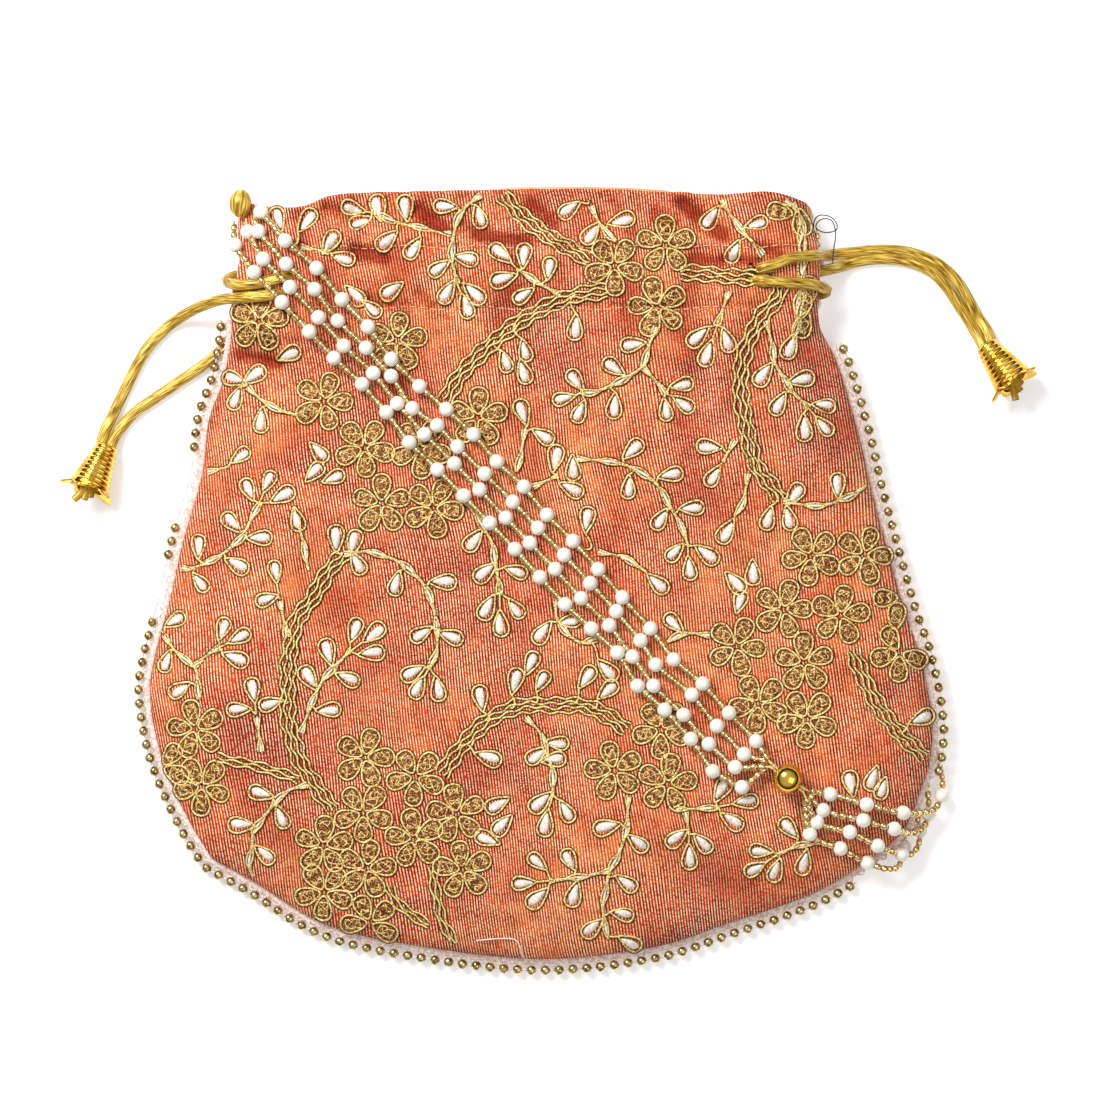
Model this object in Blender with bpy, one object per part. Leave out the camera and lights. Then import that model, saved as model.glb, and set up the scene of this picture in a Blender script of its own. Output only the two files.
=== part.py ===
"""A drawstring potli bag lying on its back, with its beaded handle thrown across the front.

Metres, +Z up, +Y towards the mouth. The bag rests on Z = 0. Places that were read from the
photograph are written in its pixels and turned into metres by the bag's real width and height.
"""

import math

import bmesh
import bpy
import numpy as np
from mathutils import Vector
from mathutils.bvhtree import BVHTree

# The bag's overall size, and the same spans in the photograph
BODY_WIDTH = 0.2096
BODY_HEIGHT = 0.2056
BODY_WIDTH_PX = 785.0
BODY_HEIGHT_PX = 770.0
CENTRE_PX = (540.5, 581.0)

# Cloth
PANEL_THICKNESS = 0.0008
LINING_THICKNESS = 0.0005
CLEARANCE = 0.0003
LINING_CLEARANCE = 0.0010
LINING_RISE = 0.0010
LINING_SEAM_WIDTH = 0.0012

# How far the two panels stand apart inside the bag
BODY_FULLNESS = 0.0125
CASING_FULLNESS = 0.0135
FRILL_FULLNESS = 0.0105
BODY_EDGE_RUN = 0.040
NECK_EDGE_RUN = 0.022
SEAM_LIFT = 0.0015
SEAM_LIFT_RUN = 0.012
NECK_LIFT = 0.0034
FOLD_DEPTH = 0.0016
FOLD_COUNT = 7

# Heights of the neck's parts, as pixel rows in the photograph
FRILL_ROW = 215.0
CASING_TOP_ROW = 248.0
CASING_FOOT_ROW = 309.0
SHOULDER_ROW = 390.0

# Drawstrings and cones
DRAWSTRING_DIAMETER = 0.0022
DRAWSTRING_POINTS = 78
DRAWSTRING_CLEARANCE = 0.0006
CONE_LENGTH = 0.0120
CONE_NECK_RADIUS = 0.0032
CONE_CORD_DEPTH = 0.0015
CONE_MOUTH_RADIUS = 0.0058
CONE_WALL = 0.0005
CONE_PETALS = 5
CONE_PETAL_DEPTH = 0.0018

# Handle
WHITE_BEAD_DIAMETER = 0.0040
SEED_DIAMETER = 0.0018
BEAD_PITCH = 0.0107
THREAD_DIAMETER = 0.0008
BALL_DIAMETER = 0.0080
BALL_BORE = 0.0034
BARE_BEFORE_BALL = 0.0052
BARE_AFTER_BALL = 0.0044
LOOP_RADIUS = 0.0022
LOOP_THREAD_RADIUS = 0.0011
LOOP_STRETCH = 1.25
STRAP_HALF_WIDTH = 0.0150
STRAP_ROOM = 0.0050
STRAP_EASE = 0.0130

# Seam trim
BRAID_NEAR = 0.0007
BRAID_WIDTH = 0.0009
BRAID_THICKNESS = 0.0010
BRAID_STEP = 0.0055
EDGE_BEAD_DIAMETER = 0.0025
EDGE_BEAD_PITCH = 0.0037
EDGE_BEAD_REACH = 0.0032
EDGE_THREAD_DIAMETER = 0.0006

# Embroidery relief
ZARI_THICKNESS = 0.0005
BRANCH_WIDTH = 0.0030
PETAL_LENGTH = 0.0060
PETAL_WAIST = 0.45
PETAL_COUNT = 5

# Grid of the cloth
COLUMNS = 26
BODY_ROWS = 11
NECK_ROWS = 9
NECK_SHARE = 0.2
COLUMN_CROWDING = 0.3
ROW_CROWDING = 1.4

# The outline of the cloth, in pixels: the sides from the bottom corner up, the rest left to right
LEFT_SIDE_PX = (
    (210, 860), (186, 820), (160, 760), (148, 700), (152, 660), (168, 600), (181, 542),
    (200, 475), (207, 420), (222, 378), (231, 330), (232, 290), (239, 261), (237, 230), (240, 200),
)
RIGHT_SIDE_PX = (
    (875, 860), (905, 830), (922, 790), (931, 760), (933, 720), (922, 660), (905, 610), (887, 545),
    (874, 496), (859, 433), (838, 363), (820, 325), (819, 295), (820, 265), (815, 230), (808, 203),
)
BOTTOM_PX = (
    (210, 860), (255, 885), (321, 925), (400, 945), (534, 961), (650, 950), (730, 925), (815, 895),
    (875, 860),
)
MOUTH_PX = (
    (240, 200), (262, 206), (300, 208), (340, 195), (416, 192), (515, 190), (610, 190), (719, 195),
    (770, 193), (808, 203),
)

# Slits through which the drawstrings leave the casing: left, top, right and bottom, in pixels
FRONT_SLITS_PX = ((262, 262, 300, 306), (736, 256, 776, 304))
BACK_SLITS_PX = ((262, 284, 300, 312),)

# Where the trim starts and stops, and where beads are missing, in pixel rows
TRIM_TOP_LEFT_ROW = 318.0
TRIM_TOP_RIGHT_ROW = 346.0
WRAP_ROWS = (776.0, 872.0)
MISSING_BEAD_ROWS = ((460.0, 518.0), (560.0, 618.0))

# The middle of the handle where it lies under the bag
STRAP_UNDER_PX = (
    (926, 790), (905, 735), (880, 685), (845, 620), (812, 540), (795, 460), (790, 380), (796, 300),
    (804, 240), (811, 212),
)

# Centres of the white beads on top of the bag, strand by strand from the top left corner
STRAND_FRONT_PX = (
    (
        (262, 213), (287, 243), (318, 270), (343, 301), (369, 328), (392, 360), (420, 387),
        (447, 410), (474, 435), (497, 462), (524, 487), (547, 515), (573, 541), (598, 569),
        (622, 597), (650, 628), (673, 659), (702, 683), (728, 712), (755, 740),
    ),
    (
        (260, 233), (288, 266), (316, 291), (339, 322), (367, 349), (392, 377), (413, 409),
        (438, 426), (458, 447), (485, 474), (513, 502), (538, 528), (564, 555), (590, 583),
        (616, 611), (640, 640), (655, 664), (691, 694), (716, 725), (743, 753),
    ),
    (
        (249, 233), (265, 261), (292, 289), (320, 319), (345, 347), (374, 374), (398, 404),
        (425, 435), (455, 464), (480, 490), (506, 518), (530, 543), (555, 569), (581, 598),
        (609, 625), (632, 656), (653, 685), (683, 714), (708, 743), (734, 766),
    ),
    (
        (236, 246), (256, 274), (284, 304), (311, 333), (335, 359), (363, 385), (387, 413),
        (410, 443), (438, 470), (464, 496), (490, 523), (515, 549), (540, 577), (565, 604),
        (591, 628), (617, 652), (637, 685), (664, 709), (690, 738), (712, 770), (741, 786),
    ),
)
STRAND_START_PX = ((258, 207), (255, 217), (247, 220), (234, 221))
BALL_PX = (786, 777)
BALL_AXIS_PX = (0.80, 0.60)

# The same strands after the ball: on top of the bag, round its edge, and then to the floor
STRAND_FAN_PX = (
    ((829, 793), (865, 803), (902, 812)),
    ((822, 809), (862, 819), (893, 828)),
    ((816, 821), (849, 831), (877, 845)),
    ((809, 833), (840, 848), (868, 863)),
)
STRAND_WRAP_PX = (
    ((924, 813), (938, 808), (945, 788), (940, 762), (926, 735)),
    ((909, 833), (924, 829), (931, 812), (927, 783), (912, 745)),
    ((896, 853), (913, 855), (922, 838), (915, 803), (897, 757)),
    ((884, 869), (899, 868), (906, 850), (901, 818), (882, 770)),
)
STRAND_WRAP_HEIGHTS = (0.0085, 0.0058, 0.0034, 0.0024, 0.0023)
STRAND_SPACING = 0.0044
LOOP_LEFT_PX = (241, 203)
LOOP_RIGHT_PX = (813, 204)

# Drawstring routes: pixel column, pixel row and the layer that the cord lies on
FLOOR, OVER, UNDER_FRONT, ON_BACK, BETWEEN = "floor", "over", "under_front", "on_back", "between"
LEFT_DRAWSTRING_ROUTE = (
    (101, 434, BETWEEN), (111, 412, FLOOR), (122, 389, FLOOR), (141, 352, FLOOR), (163, 327, FLOOR),
    (184, 313, BETWEEN), (206, 304, BETWEEN), (222, 300, BETWEEN), (240, 299, OVER), (256, 298, OVER),
    (269, 297, OVER), (280, 295, BETWEEN), (293, 293, UNDER_FRONT), (320, 291, UNDER_FRONT),
    (400, 292, UNDER_FRONT), (520, 293, UNDER_FRONT), (640, 292, UNDER_FRONT), (728, 289, UNDER_FRONT),
    (740, 288, UNDER_FRONT), (752, 287, BETWEEN), (764, 286, OVER), (780, 285, OVER),
    (800, 285, OVER), (816, 287, OVER), (834, 290.5, BETWEEN), (816, 294.5, ON_BACK),
    (780, 296, ON_BACK), (640, 296, ON_BACK), (400, 296, ON_BACK), (312, 296, ON_BACK),
    (297, 297, ON_BACK), (283, 300, BETWEEN), (270, 304, FLOOR), (257, 310, FLOOR),
    (243, 321, FLOOR), (228, 337, FLOOR), (215, 352, FLOOR),
    (198, 366, FLOOR), (176, 381, FLOOR), (154, 396, FLOOR), (134, 410, FLOOR), (122, 422, FLOOR),
    (112, 437, BETWEEN),
)
RIGHT_DRAWSTRING_ROUTE = (
    (990, 330, BETWEEN), (980, 314, FLOOR), (969, 294, FLOOR), (957, 276, FLOOR), (938, 260, FLOOR),
    (910, 250, FLOOR), (881, 248, FLOOR), (858, 250, BETWEEN), (834, 253, BETWEEN), (818, 256, OVER),
    (790, 260, OVER), (777, 263, OVER), (766, 266, OVER), (754, 268, BETWEEN),
    (742, 270, UNDER_FRONT), (728, 270, UNDER_FRONT), (640, 270, UNDER_FRONT),
    (520, 271, UNDER_FRONT), (400, 270, UNDER_FRONT), (318, 270, UNDER_FRONT),
    (304, 271, UNDER_FRONT), (292, 273, BETWEEN), (280, 276, OVER), (264, 279, OVER),
    (250, 281, OVER), (238, 282, OVER), (221, 279, BETWEEN), (238, 275, ON_BACK), (270, 273, ON_BACK),
    (400, 272, ON_BACK), (640, 272, ON_BACK), (780, 272, ON_BACK), (812, 272, ON_BACK),
    (836, 272, BETWEEN), (858, 266, FLOOR), (881, 262, FLOOR), (908, 265, FLOOR),
    (930, 274, FLOOR), (944, 290, FLOOR), (956, 307, FLOOR), (967, 323, FLOOR), (978, 338, BETWEEN),
)
LEFT_CONE_PX = ((105, 446), (88, 487))
RIGHT_CONE_PX = ((988, 344), (1014, 380))

# Embroidery in relief: middles of the thick branches and centres of the flowers, in pixels
BRANCHES_PX = (
    ((607, 292), (582, 295), (561, 301), (534, 314), (515, 326), (496, 341), (477, 358), (459, 380)),
    (
        (442, 773), (457, 752), (477, 729), (500, 713), (524, 705), (553, 705), (582, 705), (607, 715),
        (626, 729),
    ),
    (
        (776, 310), (761, 322), (748, 341), (741, 366), (740, 391), (743, 416), (748, 441), (755, 466),
        (770, 486),
    ),
    ((851, 650), (862, 677), (877, 705), (897, 731)),
    (
        (312, 600), (298, 619), (293, 638), (289, 667), (289, 696), (289, 719), (295, 742), (302, 763),
        (312, 778), (325, 797), (335, 808),
    ),
    ((218, 753), (245, 757), (272, 762)),
    ((432, 868), (436, 891), (442, 916), (448, 932)),
)
FLOWERS_PX = (
    (614, 267), (665, 246), (657, 308), (324, 402), (365, 448), (382, 504), (434, 508),
    (806, 557), (851, 556), (782, 609), (839, 615), (736, 646), (803, 662), (758, 703), (806, 718),
    (197, 728), (203, 784), (365, 757), (416, 776), (364, 812), (413, 838), (323, 845), (367, 868),
    (457, 813), (614, 771), (667, 783),
)

# Colours of the sub-parts
CORAL_SILK = (0.87, 0.30, 0.20)
PEACH_SATIN = (0.96, 0.62, 0.42)
PINK_LACE = (0.90, 0.76, 0.70)
ANTIQUE_BRASS = (0.62, 0.47, 0.20)
GOLD_SATIN = (0.72, 0.55, 0.15)
BRIGHT_GOLD = (0.90, 0.72, 0.30)
WHITE_BEAD = (0.93, 0.91, 0.86)
ZARI_GOLD = (0.85, 0.66, 0.28)


def metres(point_px):
    """The place of a photograph pixel on the plan of the bag."""
    x = (point_px[0] - CENTRE_PX[0]) * BODY_WIDTH / BODY_WIDTH_PX
    y = (CENTRE_PX[1] - point_px[1]) * BODY_HEIGHT / BODY_HEIGHT_PX
    return x, y


def row_height(row_px):
    """The Y of a pixel row."""
    return metres((0.0, row_px))[1]


def plan(points_px):
    """An array of plan points from a list of pixels."""
    return np.array([metres(p) for p in points_px])


def ease(start, end, value):
    """0 before start, 1 after end, and a smooth step between them."""
    t = np.clip((value - start) / (end - start), 0.0, 1.0)
    return t * t * (3.0 - 2.0 * t)


def smooth_line(points, pieces=12):
    """A Catmull-Rom curve through the points, as a dense polyline."""
    points = np.asarray(points, float)
    padded = np.vstack([2 * points[0] - points[1], points, 2 * points[-1] - points[-2]])
    before, start, end, after = padded[:-3], padded[1:-2], padded[2:-1], padded[3:]
    t = (np.arange(pieces) / pieces)[None, :, None]
    curve = 0.5 * (
        2 * start[:, None]
        + (end - before)[:, None] * t
        + (2 * before - 5 * start + 4 * end - after)[:, None] * t**2
        + (3 * start - before - 3 * end + after)[:, None] * t**3
    )
    return np.vstack([curve.reshape(-1, points.shape[1]), points[-1]])


def lengths_along(line):
    """Distance from the start of a polyline to each of its points."""
    return np.concatenate([[0.0], np.cumsum(np.linalg.norm(np.diff(line, axis=0), axis=1))])


def point_at(line, distances):
    """Points of a polyline at the given distances from its start."""
    along = lengths_along(line)
    return np.stack([np.interp(distances, along, line[:, k]) for k in range(line.shape[1])], axis=-1)


def at_shares(line, shares):
    """Points of a polyline at the given shares of its length."""
    return point_at(line, np.asarray(shares) * lengths_along(line)[-1])


def thinned(line, count):
    """The given number of points of a polyline, closer together where it bends."""
    bend = np.linalg.norm(np.diff(line, 2, axis=0), axis=1)
    bend = np.convolve(bend, np.ones(15) / 15, mode="same")
    weight = np.concatenate([[0.0], np.cumsum(1.0 + bend / bend.mean()), [0.0]])
    weight[-1] = weight[-2] + 1.0
    places = np.interp(np.linspace(0.0, weight[-1], count), weight, np.arange(len(line)))
    return np.stack([np.interp(places, np.arange(len(line)), axis) for axis in line.T], axis=-1)


def distance_to(line, points):
    """Distance of each plan point from a polyline."""
    start, step = line[:-1], np.diff(line, axis=0)
    to_point = points[..., None, :] - start
    share = np.clip((to_point * step).sum(-1) / (step**2).sum(-1), 0.0, 1.0)
    return np.linalg.norm(to_point - share[..., None] * step, axis=-1).min(-1)


LEFT_SIDE = smooth_line(plan(LEFT_SIDE_PX))
RIGHT_SIDE = smooth_line(plan(RIGHT_SIDE_PX))
BOTTOM = smooth_line(plan(BOTTOM_PX))
MOUTH = smooth_line(plan(MOUTH_PX))
SEAM = np.vstack([LEFT_SIDE[::-1], BOTTOM[1:-1], RIGHT_SIDE])
STRAP_UNDER = smooth_line(plan(STRAP_UNDER_PX))


def cloth_grid():
    """The plan of the cloth's grid: a Coons patch between the bag's four edges."""
    t = np.linspace(0.0, 1.0, COLUMNS + 1)
    across = t - COLUMN_CROWDING * np.sin(2 * math.pi * t) / (2 * math.pi)
    body = (1 - NECK_SHARE) * np.linspace(0.0, 1.0, BODY_ROWS + 1) ** ROW_CROWDING
    neck = np.linspace(1 - NECK_SHARE, 1.0, NECK_ROWS + 1)[1:]
    up = np.concatenate([body, neck])
    left, right = at_shares(LEFT_SIDE, up)[:, None], at_shares(RIGHT_SIDE, up)[:, None]
    bottom, mouth = at_shares(BOTTOM, across)[None], at_shares(MOUTH, across)[None]
    u, v = across[None, :, None], up[:, None, None]
    corners = (
        (1 - u) * (1 - v) * BOTTOM[0] + u * (1 - v) * BOTTOM[-1]
        + (1 - u) * v * MOUTH[0] + u * v * MOUTH[-1]
    )
    return (1 - u) * left + u * right + (1 - v) * bottom + v * mouth - corners


def highest_around(values):
    """The highest value at each point of a grid and at its eight neighbours."""
    padded = np.pad(values, 1, mode="edge")
    rows, columns = values.shape
    shifted = [padded[i : i + rows, k : k + columns] for i in range(3) for k in range(3)]
    return np.max(shifted, axis=0)


class ClothLayers:
    """Heights of the bag's cloth layers over the points of a plan grid."""

    def __init__(self, grid):
        x, y = grid[..., 0], grid[..., 1]
        inward = distance_to(SEAM, grid)
        cord_room = DRAWSTRING_DIAMETER + 2 * DRAWSTRING_CLEARANCE
        foot, top = row_height(CASING_FOOT_ROW), row_height(CASING_TOP_ROW)
        edge = (top - foot) / 4
        casing = ease(foot - 2 * edge, foot, y) * (1 - ease(top, top + edge, y))
        neck = ease(row_height(SHOULDER_ROW), foot, y)
        frill = ease(top, row_height(FRILL_ROW), y)

        from_strap = distance_to(STRAP_UNDER, grid)
        strap = STRAP_ROOM * (1 - ease(STRAP_HALF_WIDTH, STRAP_HALF_WIDTH + STRAP_EASE, from_strap))
        seam = SEAM_LIFT * (1 - np.minimum(inward / SEAM_LIFT_RUN, 1.0)) ** 2
        left_neck = neck * (1 - ease(0.4 * BODY_EDGE_RUN, 0.85 * BODY_EDGE_RUN, inward)) * (x < 0)
        self.back_under = np.maximum(strap, seam + NECK_LIFT * left_neck)
        self.back_top = self.back_under + PANEL_THICKNESS

        fullness = BODY_FULLNESS + (CASING_FULLNESS - BODY_FULLNESS) * neck
        fullness = fullness + (FRILL_FULLNESS - CASING_FULLNESS) * frill
        run = BODY_EDGE_RUN + (NECK_EDGE_RUN - BODY_EDGE_RUN) * neck
        swell = np.sqrt(1 - (1 - np.minimum(inward / run, 1.0)) ** 2)
        side_gap = cord_room * casing * (1 - swell)
        settled = 0.5 * self.back_under * ease(0.0, 0.75 * BODY_EDGE_RUN, inward)
        opening = CLEARANCE + fullness * swell + side_gap - settled

        left, right = at_shares(MOUTH, [0.0, 1.0])[:, 0]
        folds = 0.5 - 0.5 * np.cos(2 * math.pi * FOLD_COUNT * (x - left) / (right - left))
        fold = FOLD_DEPTH * folds * neck * ease(0.0, 0.4 * BODY_EDGE_RUN, inward)
        self.front_under = self.back_top + opening + fold
        self.front_top = self.front_under + PANEL_THICKNESS

        self.middle = self.back_top + opening / 2
        cord_space = cord_room * casing
        least = LINING_THICKNESS + CLEARANCE
        room = np.maximum(cord_space, LINING_CLEARANCE)
        self.lining_under = np.minimum(highest_around(self.back_top + room), self.middle - least)
        self.lining_top = np.maximum(
            -highest_around(room - self.back_top - opening), self.middle + least
        )


def material(name, colour, roughness, metallic=0.0):
    """A plain material of the sub-part's own colour."""
    made = bpy.data.materials.new(name)
    made.use_nodes = True
    shader = made.node_tree.nodes["Principled BSDF"]
    shader.inputs["Base Color"].default_value = (*colour, 1.0)
    shader.inputs["Roughness"].default_value = roughness
    shader.inputs["Metallic"].default_value = metallic
    return made


def new_object(name, data, finish):
    """An object of the scene with its material."""
    made = bpy.data.objects.new(name, data)
    bpy.context.scene.collection.objects.link(made)
    data.materials.append(finish)
    return made


def solid(name, points, faces, finish):
    """A mesh object from points and faces, with its faces turned outwards."""
    mesh = bpy.data.meshes.new(name)
    mesh.from_pydata([tuple(p) for p in points], [], [tuple(f) for f in faces])
    work = bmesh.new()
    work.from_mesh(mesh)
    bmesh.ops.recalc_face_normals(work, faces=work.faces)
    bmesh.ops.triangulate(work, faces=work.faces)
    work.to_mesh(mesh)
    work.free()
    mesh.shade_smooth()
    return new_object(name, mesh, finish)


def in_slit(middle, slits_px):
    """Whether a plan point lies in one of the drawstring slits."""
    for left, top, right, bottom in slits_px:
        (x_low, y_high), (x_high, y_low) = metres((left, top)), metres((right, bottom))
        if x_low < middle[0] < x_high and y_low < middle[1] < y_high:
            return True
    return False


def panel(name, grid, under, top, slits_px, finish):
    """One layer of cloth over the grid, with a wall round its edge and round each slit."""
    rows, columns = under.shape
    count = rows * columns
    flat = grid.reshape(-1, 2)
    points = np.vstack([np.c_[flat, under.ravel()], np.c_[flat, top.ravel()]])
    faces, open_edges = [], {}
    for r in range(rows - 1):
        for c in range(columns - 1):
            if in_slit(grid[r : r + 2, c : c + 2].mean(axis=(0, 1)), slits_px):
                continue
            a, b = r * columns + c, r * columns + c + 1
            d, e = a + columns, b + columns
            faces.append((a, d, e, b))
            faces.append((a + count, b + count, e + count, d + count))
            for start, end in ((a, b), (b, e), (e, d), (d, a)):
                if (end, start) in open_edges:
                    del open_edges[(end, start)]
                else:
                    open_edges[(start, end)] = True
    faces += [(start, end, end + count, start + count) for start, end in open_edges]
    used = sorted({i for face in faces for i in face})
    place = {old: new for new, old in enumerate(used)}
    return solid(name, points[used], [[place[i] for i in face] for face in faces], finish)


def lining(grid, layers, finish):
    """The lining pouch: an outer and an inner skin that meet round the mouth."""
    last_row = grid.shape[0] - 1
    row_of = np.array(list(range(1, BODY_ROWS, 2)) + list(range(BODY_ROWS + 1, last_row + 1)))
    column_of = np.arange(1, grid.shape[1], 2)
    rows, columns = len(row_of), len(column_of)
    cut = np.ix_(row_of, column_of)
    places = grid[cut].copy()
    places[-1, :, 1] += LINING_RISE
    rim = np.zeros((rows, columns), bool)
    rim[0], rim[:, 0], rim[:, -1] = True, True, True

    inner_places = places.copy()
    for edge, beside in ((np.s_[0], np.s_[1]), (np.s_[:, 0], np.s_[:, 1]), (np.s_[:, -1], np.s_[:, -2])):
        inward = places[beside] - places[edge]
        inward /= np.linalg.norm(inward, axis=1)[:, None]
        inner_places[edge] += LINING_SEAM_WIDTH * inward

    points, faces, corners = [], [], {}
    for skin, skin_places, inset in (
        ("outer", places, 0.0),
        ("inner", inner_places, LINING_THICKNESS),
    ):
        for side, heights in (
            ("under", layers.lining_under[cut] + inset),
            ("top", layers.lining_top[cut] - inset),
        ):
            heights = np.where(rim, layers.middle[cut], heights)
            index = len(points) + np.arange(rows * columns).reshape(rows, columns)
            points += np.c_[skin_places.reshape(-1, 2), heights.ravel()].tolist()
            if side == "top":
                index = np.where(rim, corners[skin, "under"], index)
            corners[skin, side] = index
            quads = np.stack([index[:-1, :-1], index[:-1, 1:], index[1:, 1:], index[1:, :-1]], -1)
            faces += quads.reshape(-1, 4).tolist()
    for side in ("under", "top"):
        outside, inside = corners["outer", side][-1], corners["inner", side][-1]
        faces += np.stack([outside[:-1], outside[1:], inside[1:], inside[:-1]], -1).tolist()
    used = sorted({i for face in faces for i in face})
    place = {old: new for new, old in enumerate(used)}
    return solid("lining", [points[i] for i in used], [[place[i] for i in face] for face in faces], finish)


def surface_of(objects, grid=None, top=None):
    """A search tree over the objects' meshes and, where given, a whole sheet over the grid."""
    points, faces = [], []
    graph = bpy.context.evaluated_depsgraph_get()
    for made in objects:
        mesh = made.evaluated_get(graph).to_mesh()
        start = len(points)
        points += [v.co.copy() for v in mesh.vertices]
        faces += [[start + i for i in face.vertices] for face in mesh.polygons]
    if grid is not None:
        start, (rows, columns) = len(points), top.shape
        points += [Vector(p) for p in np.c_[grid.reshape(-1, 2), top.ravel()]]
        corners = start + np.arange(rows * columns).reshape(rows, columns)
        lower = np.stack([corners[:-1, :-1], corners[:-1, 1:], corners[1:, 1:]], -1).reshape(-1, 3)
        upper = np.stack([corners[:-1, :-1], corners[1:, 1:], corners[1:, :-1]], -1).reshape(-1, 3)
        faces += lower.tolist() + upper.tolist()
    return BVHTree.FromPolygons(points, faces)


def top_at(tree, x, y, floor=0.0):
    """The height of the highest surface above a plan point."""
    hit = tree.ray_cast(Vector((x, y, 1.0)), Vector((0.0, 0.0, -1.0)))
    return hit[0].z if hit[0] is not None else floor


def resting_height(tree, x, y, radius):
    """The lowest centre height of a ball that clears what lies under it; NaN where nothing does."""
    best = math.nan
    for ring, directions in ((0.0, 1), (0.5, 8), (0.9, 8)):
        rise = radius * math.sqrt(1 - ring**2)
        for k in range(directions):
            angle = 2 * math.pi * k / directions
            place = Vector((x + ring * radius * math.cos(angle), y + ring * radius * math.sin(angle), 1.0))
            hit = tree.ray_cast(place, Vector((0.0, 0.0, -1.0)))[0]
            if hit is not None:
                best = hit.z + rise if math.isnan(best) else max(best, hit.z + rise)
    return best


def top_around(tree, x, y, reach):
    """The highest surface within reach of a plan point."""
    heights = [top_at(tree, x, y)]
    for ring in (0.5 * reach, reach):
        for k in range(8):
            angle = math.pi / 4 * k
            heights.append(top_at(tree, x + ring * math.cos(angle), y + ring * math.sin(angle)))
    return max(heights)


def frames_along(line):
    """Unit side and up vectors across a polyline, without twist."""
    tangent = np.gradient(line, axis=0)
    tangent /= np.linalg.norm(tangent, axis=1)[:, None]
    side = np.cross(tangent, (0.0, 0.0, 1.0))
    flat = np.linalg.norm(side, axis=1) < 0.2
    side[flat] = (1.0, 0.0, 0.0)
    side -= (side * tangent).sum(1)[:, None] * tangent
    side /= np.linalg.norm(side, axis=1)[:, None]
    return side, np.cross(side, tangent)


def swept(name, line, section, scale, finish):
    """A solid whose cross-section follows a polyline, each station with its own scale."""
    side, up = frames_along(line)
    section = np.asarray(section, float)
    offsets = section[None] * np.asarray(scale)[:, None, None]
    rings = line[:, None] + offsets[..., :1] * side[:, None] + offsets[..., 1:] * up[:, None]
    count = len(section)
    faces = [tuple(range(count)), tuple(range((len(line) - 1) * count, len(line) * count))]
    for i in range(len(line) - 1):
        for k in range(count):
            a, b = i * count + k, i * count + (k + 1) % count
            faces.append((a, b, b + count, a + count))
    return solid(name, rings.reshape(-1, 3), faces, finish)


def polygon_section(sides):
    """A regular polygon of radius 1."""
    angles = 2 * math.pi * (np.arange(sides) + 0.5) / sides
    return np.c_[np.cos(angles), np.sin(angles)]


def cord_ends(cone_object):
    """Where a drawstring's two ends lie side by side in its cone's neck."""
    turned = cone_object.rotation_quaternion.to_matrix()
    direction = turned @ Vector((0.0, 0.0, 1.0))
    middle = cone_object.location + direction * CONE_CORD_DEPTH
    side = direction.cross(Vector((0.0, 0.0, 1.0))).normalized()
    apart = side * (DRAWSTRING_DIAMETER + CLEARANCE) / 2
    return middle + apart, middle - apart


def drawstring_line(route, ends, front, lining_tree, back):
    """The middle of a drawstring: smooth in plan, and resting on the layer each stretch names."""
    radius = DRAWSTRING_DIAMETER / 2
    places = [tuple(ends[0].xy), *plan([p[:2] for p in route]), tuple(ends[1].xy)]
    plan_line = smooth_line(places)
    along = lengths_along(plan_line)
    stops = along[:: (len(plan_line) - 1) // (len(places) - 1)]
    named = [BETWEEN, *[p[2] for p in route], BETWEEN]
    fine = np.linspace(0.0, along[-1], 1200)
    places = point_at(plan_line, fine)
    heights = np.full(len(fine), np.nan)
    nearest = np.abs(fine[:, None] - stops[None]).argmin(axis=1)
    trees = {OVER: front, UNDER_FRONT: lining_tree, ON_BACK: back}
    for k, (x, y) in enumerate(places):
        layer = named[nearest[k]]
        if layer == FLOOR:
            heights[k] = radius + CLEARANCE
        elif layer != BETWEEN:
            heights[k] = resting_height(trees[layer], x, y, radius + DRAWSTRING_CLEARANCE)
    heights[0], heights[-1] = ends[0].z, ends[1].z
    known = ~np.isnan(heights)
    heights = np.interp(fine, fine[known], heights[known])
    window = np.hanning(11)[1:-1]
    padded = np.pad(heights, len(window) // 2, mode="edge")
    heights = np.convolve(padded, window / window.sum(), mode="valid")
    return thinned(np.c_[places, heights], DRAWSTRING_POINTS)


def cord(name, line, finish):
    """A round cord along a polyline, as a bevelled curve with closed ends."""
    curve = bpy.data.curves.new(name, "CURVE")
    curve.dimensions = "3D"
    curve.bevel_depth = DRAWSTRING_DIAMETER / 2
    curve.bevel_resolution = 2
    curve.use_fill_caps = True
    spline = curve.splines.new("POLY")
    spline.points.add(len(line) - 1)
    for target, place in zip(spline.points, line):
        target.co = (*place, 1.0)
    return new_object(name, curve, finish)


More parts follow.
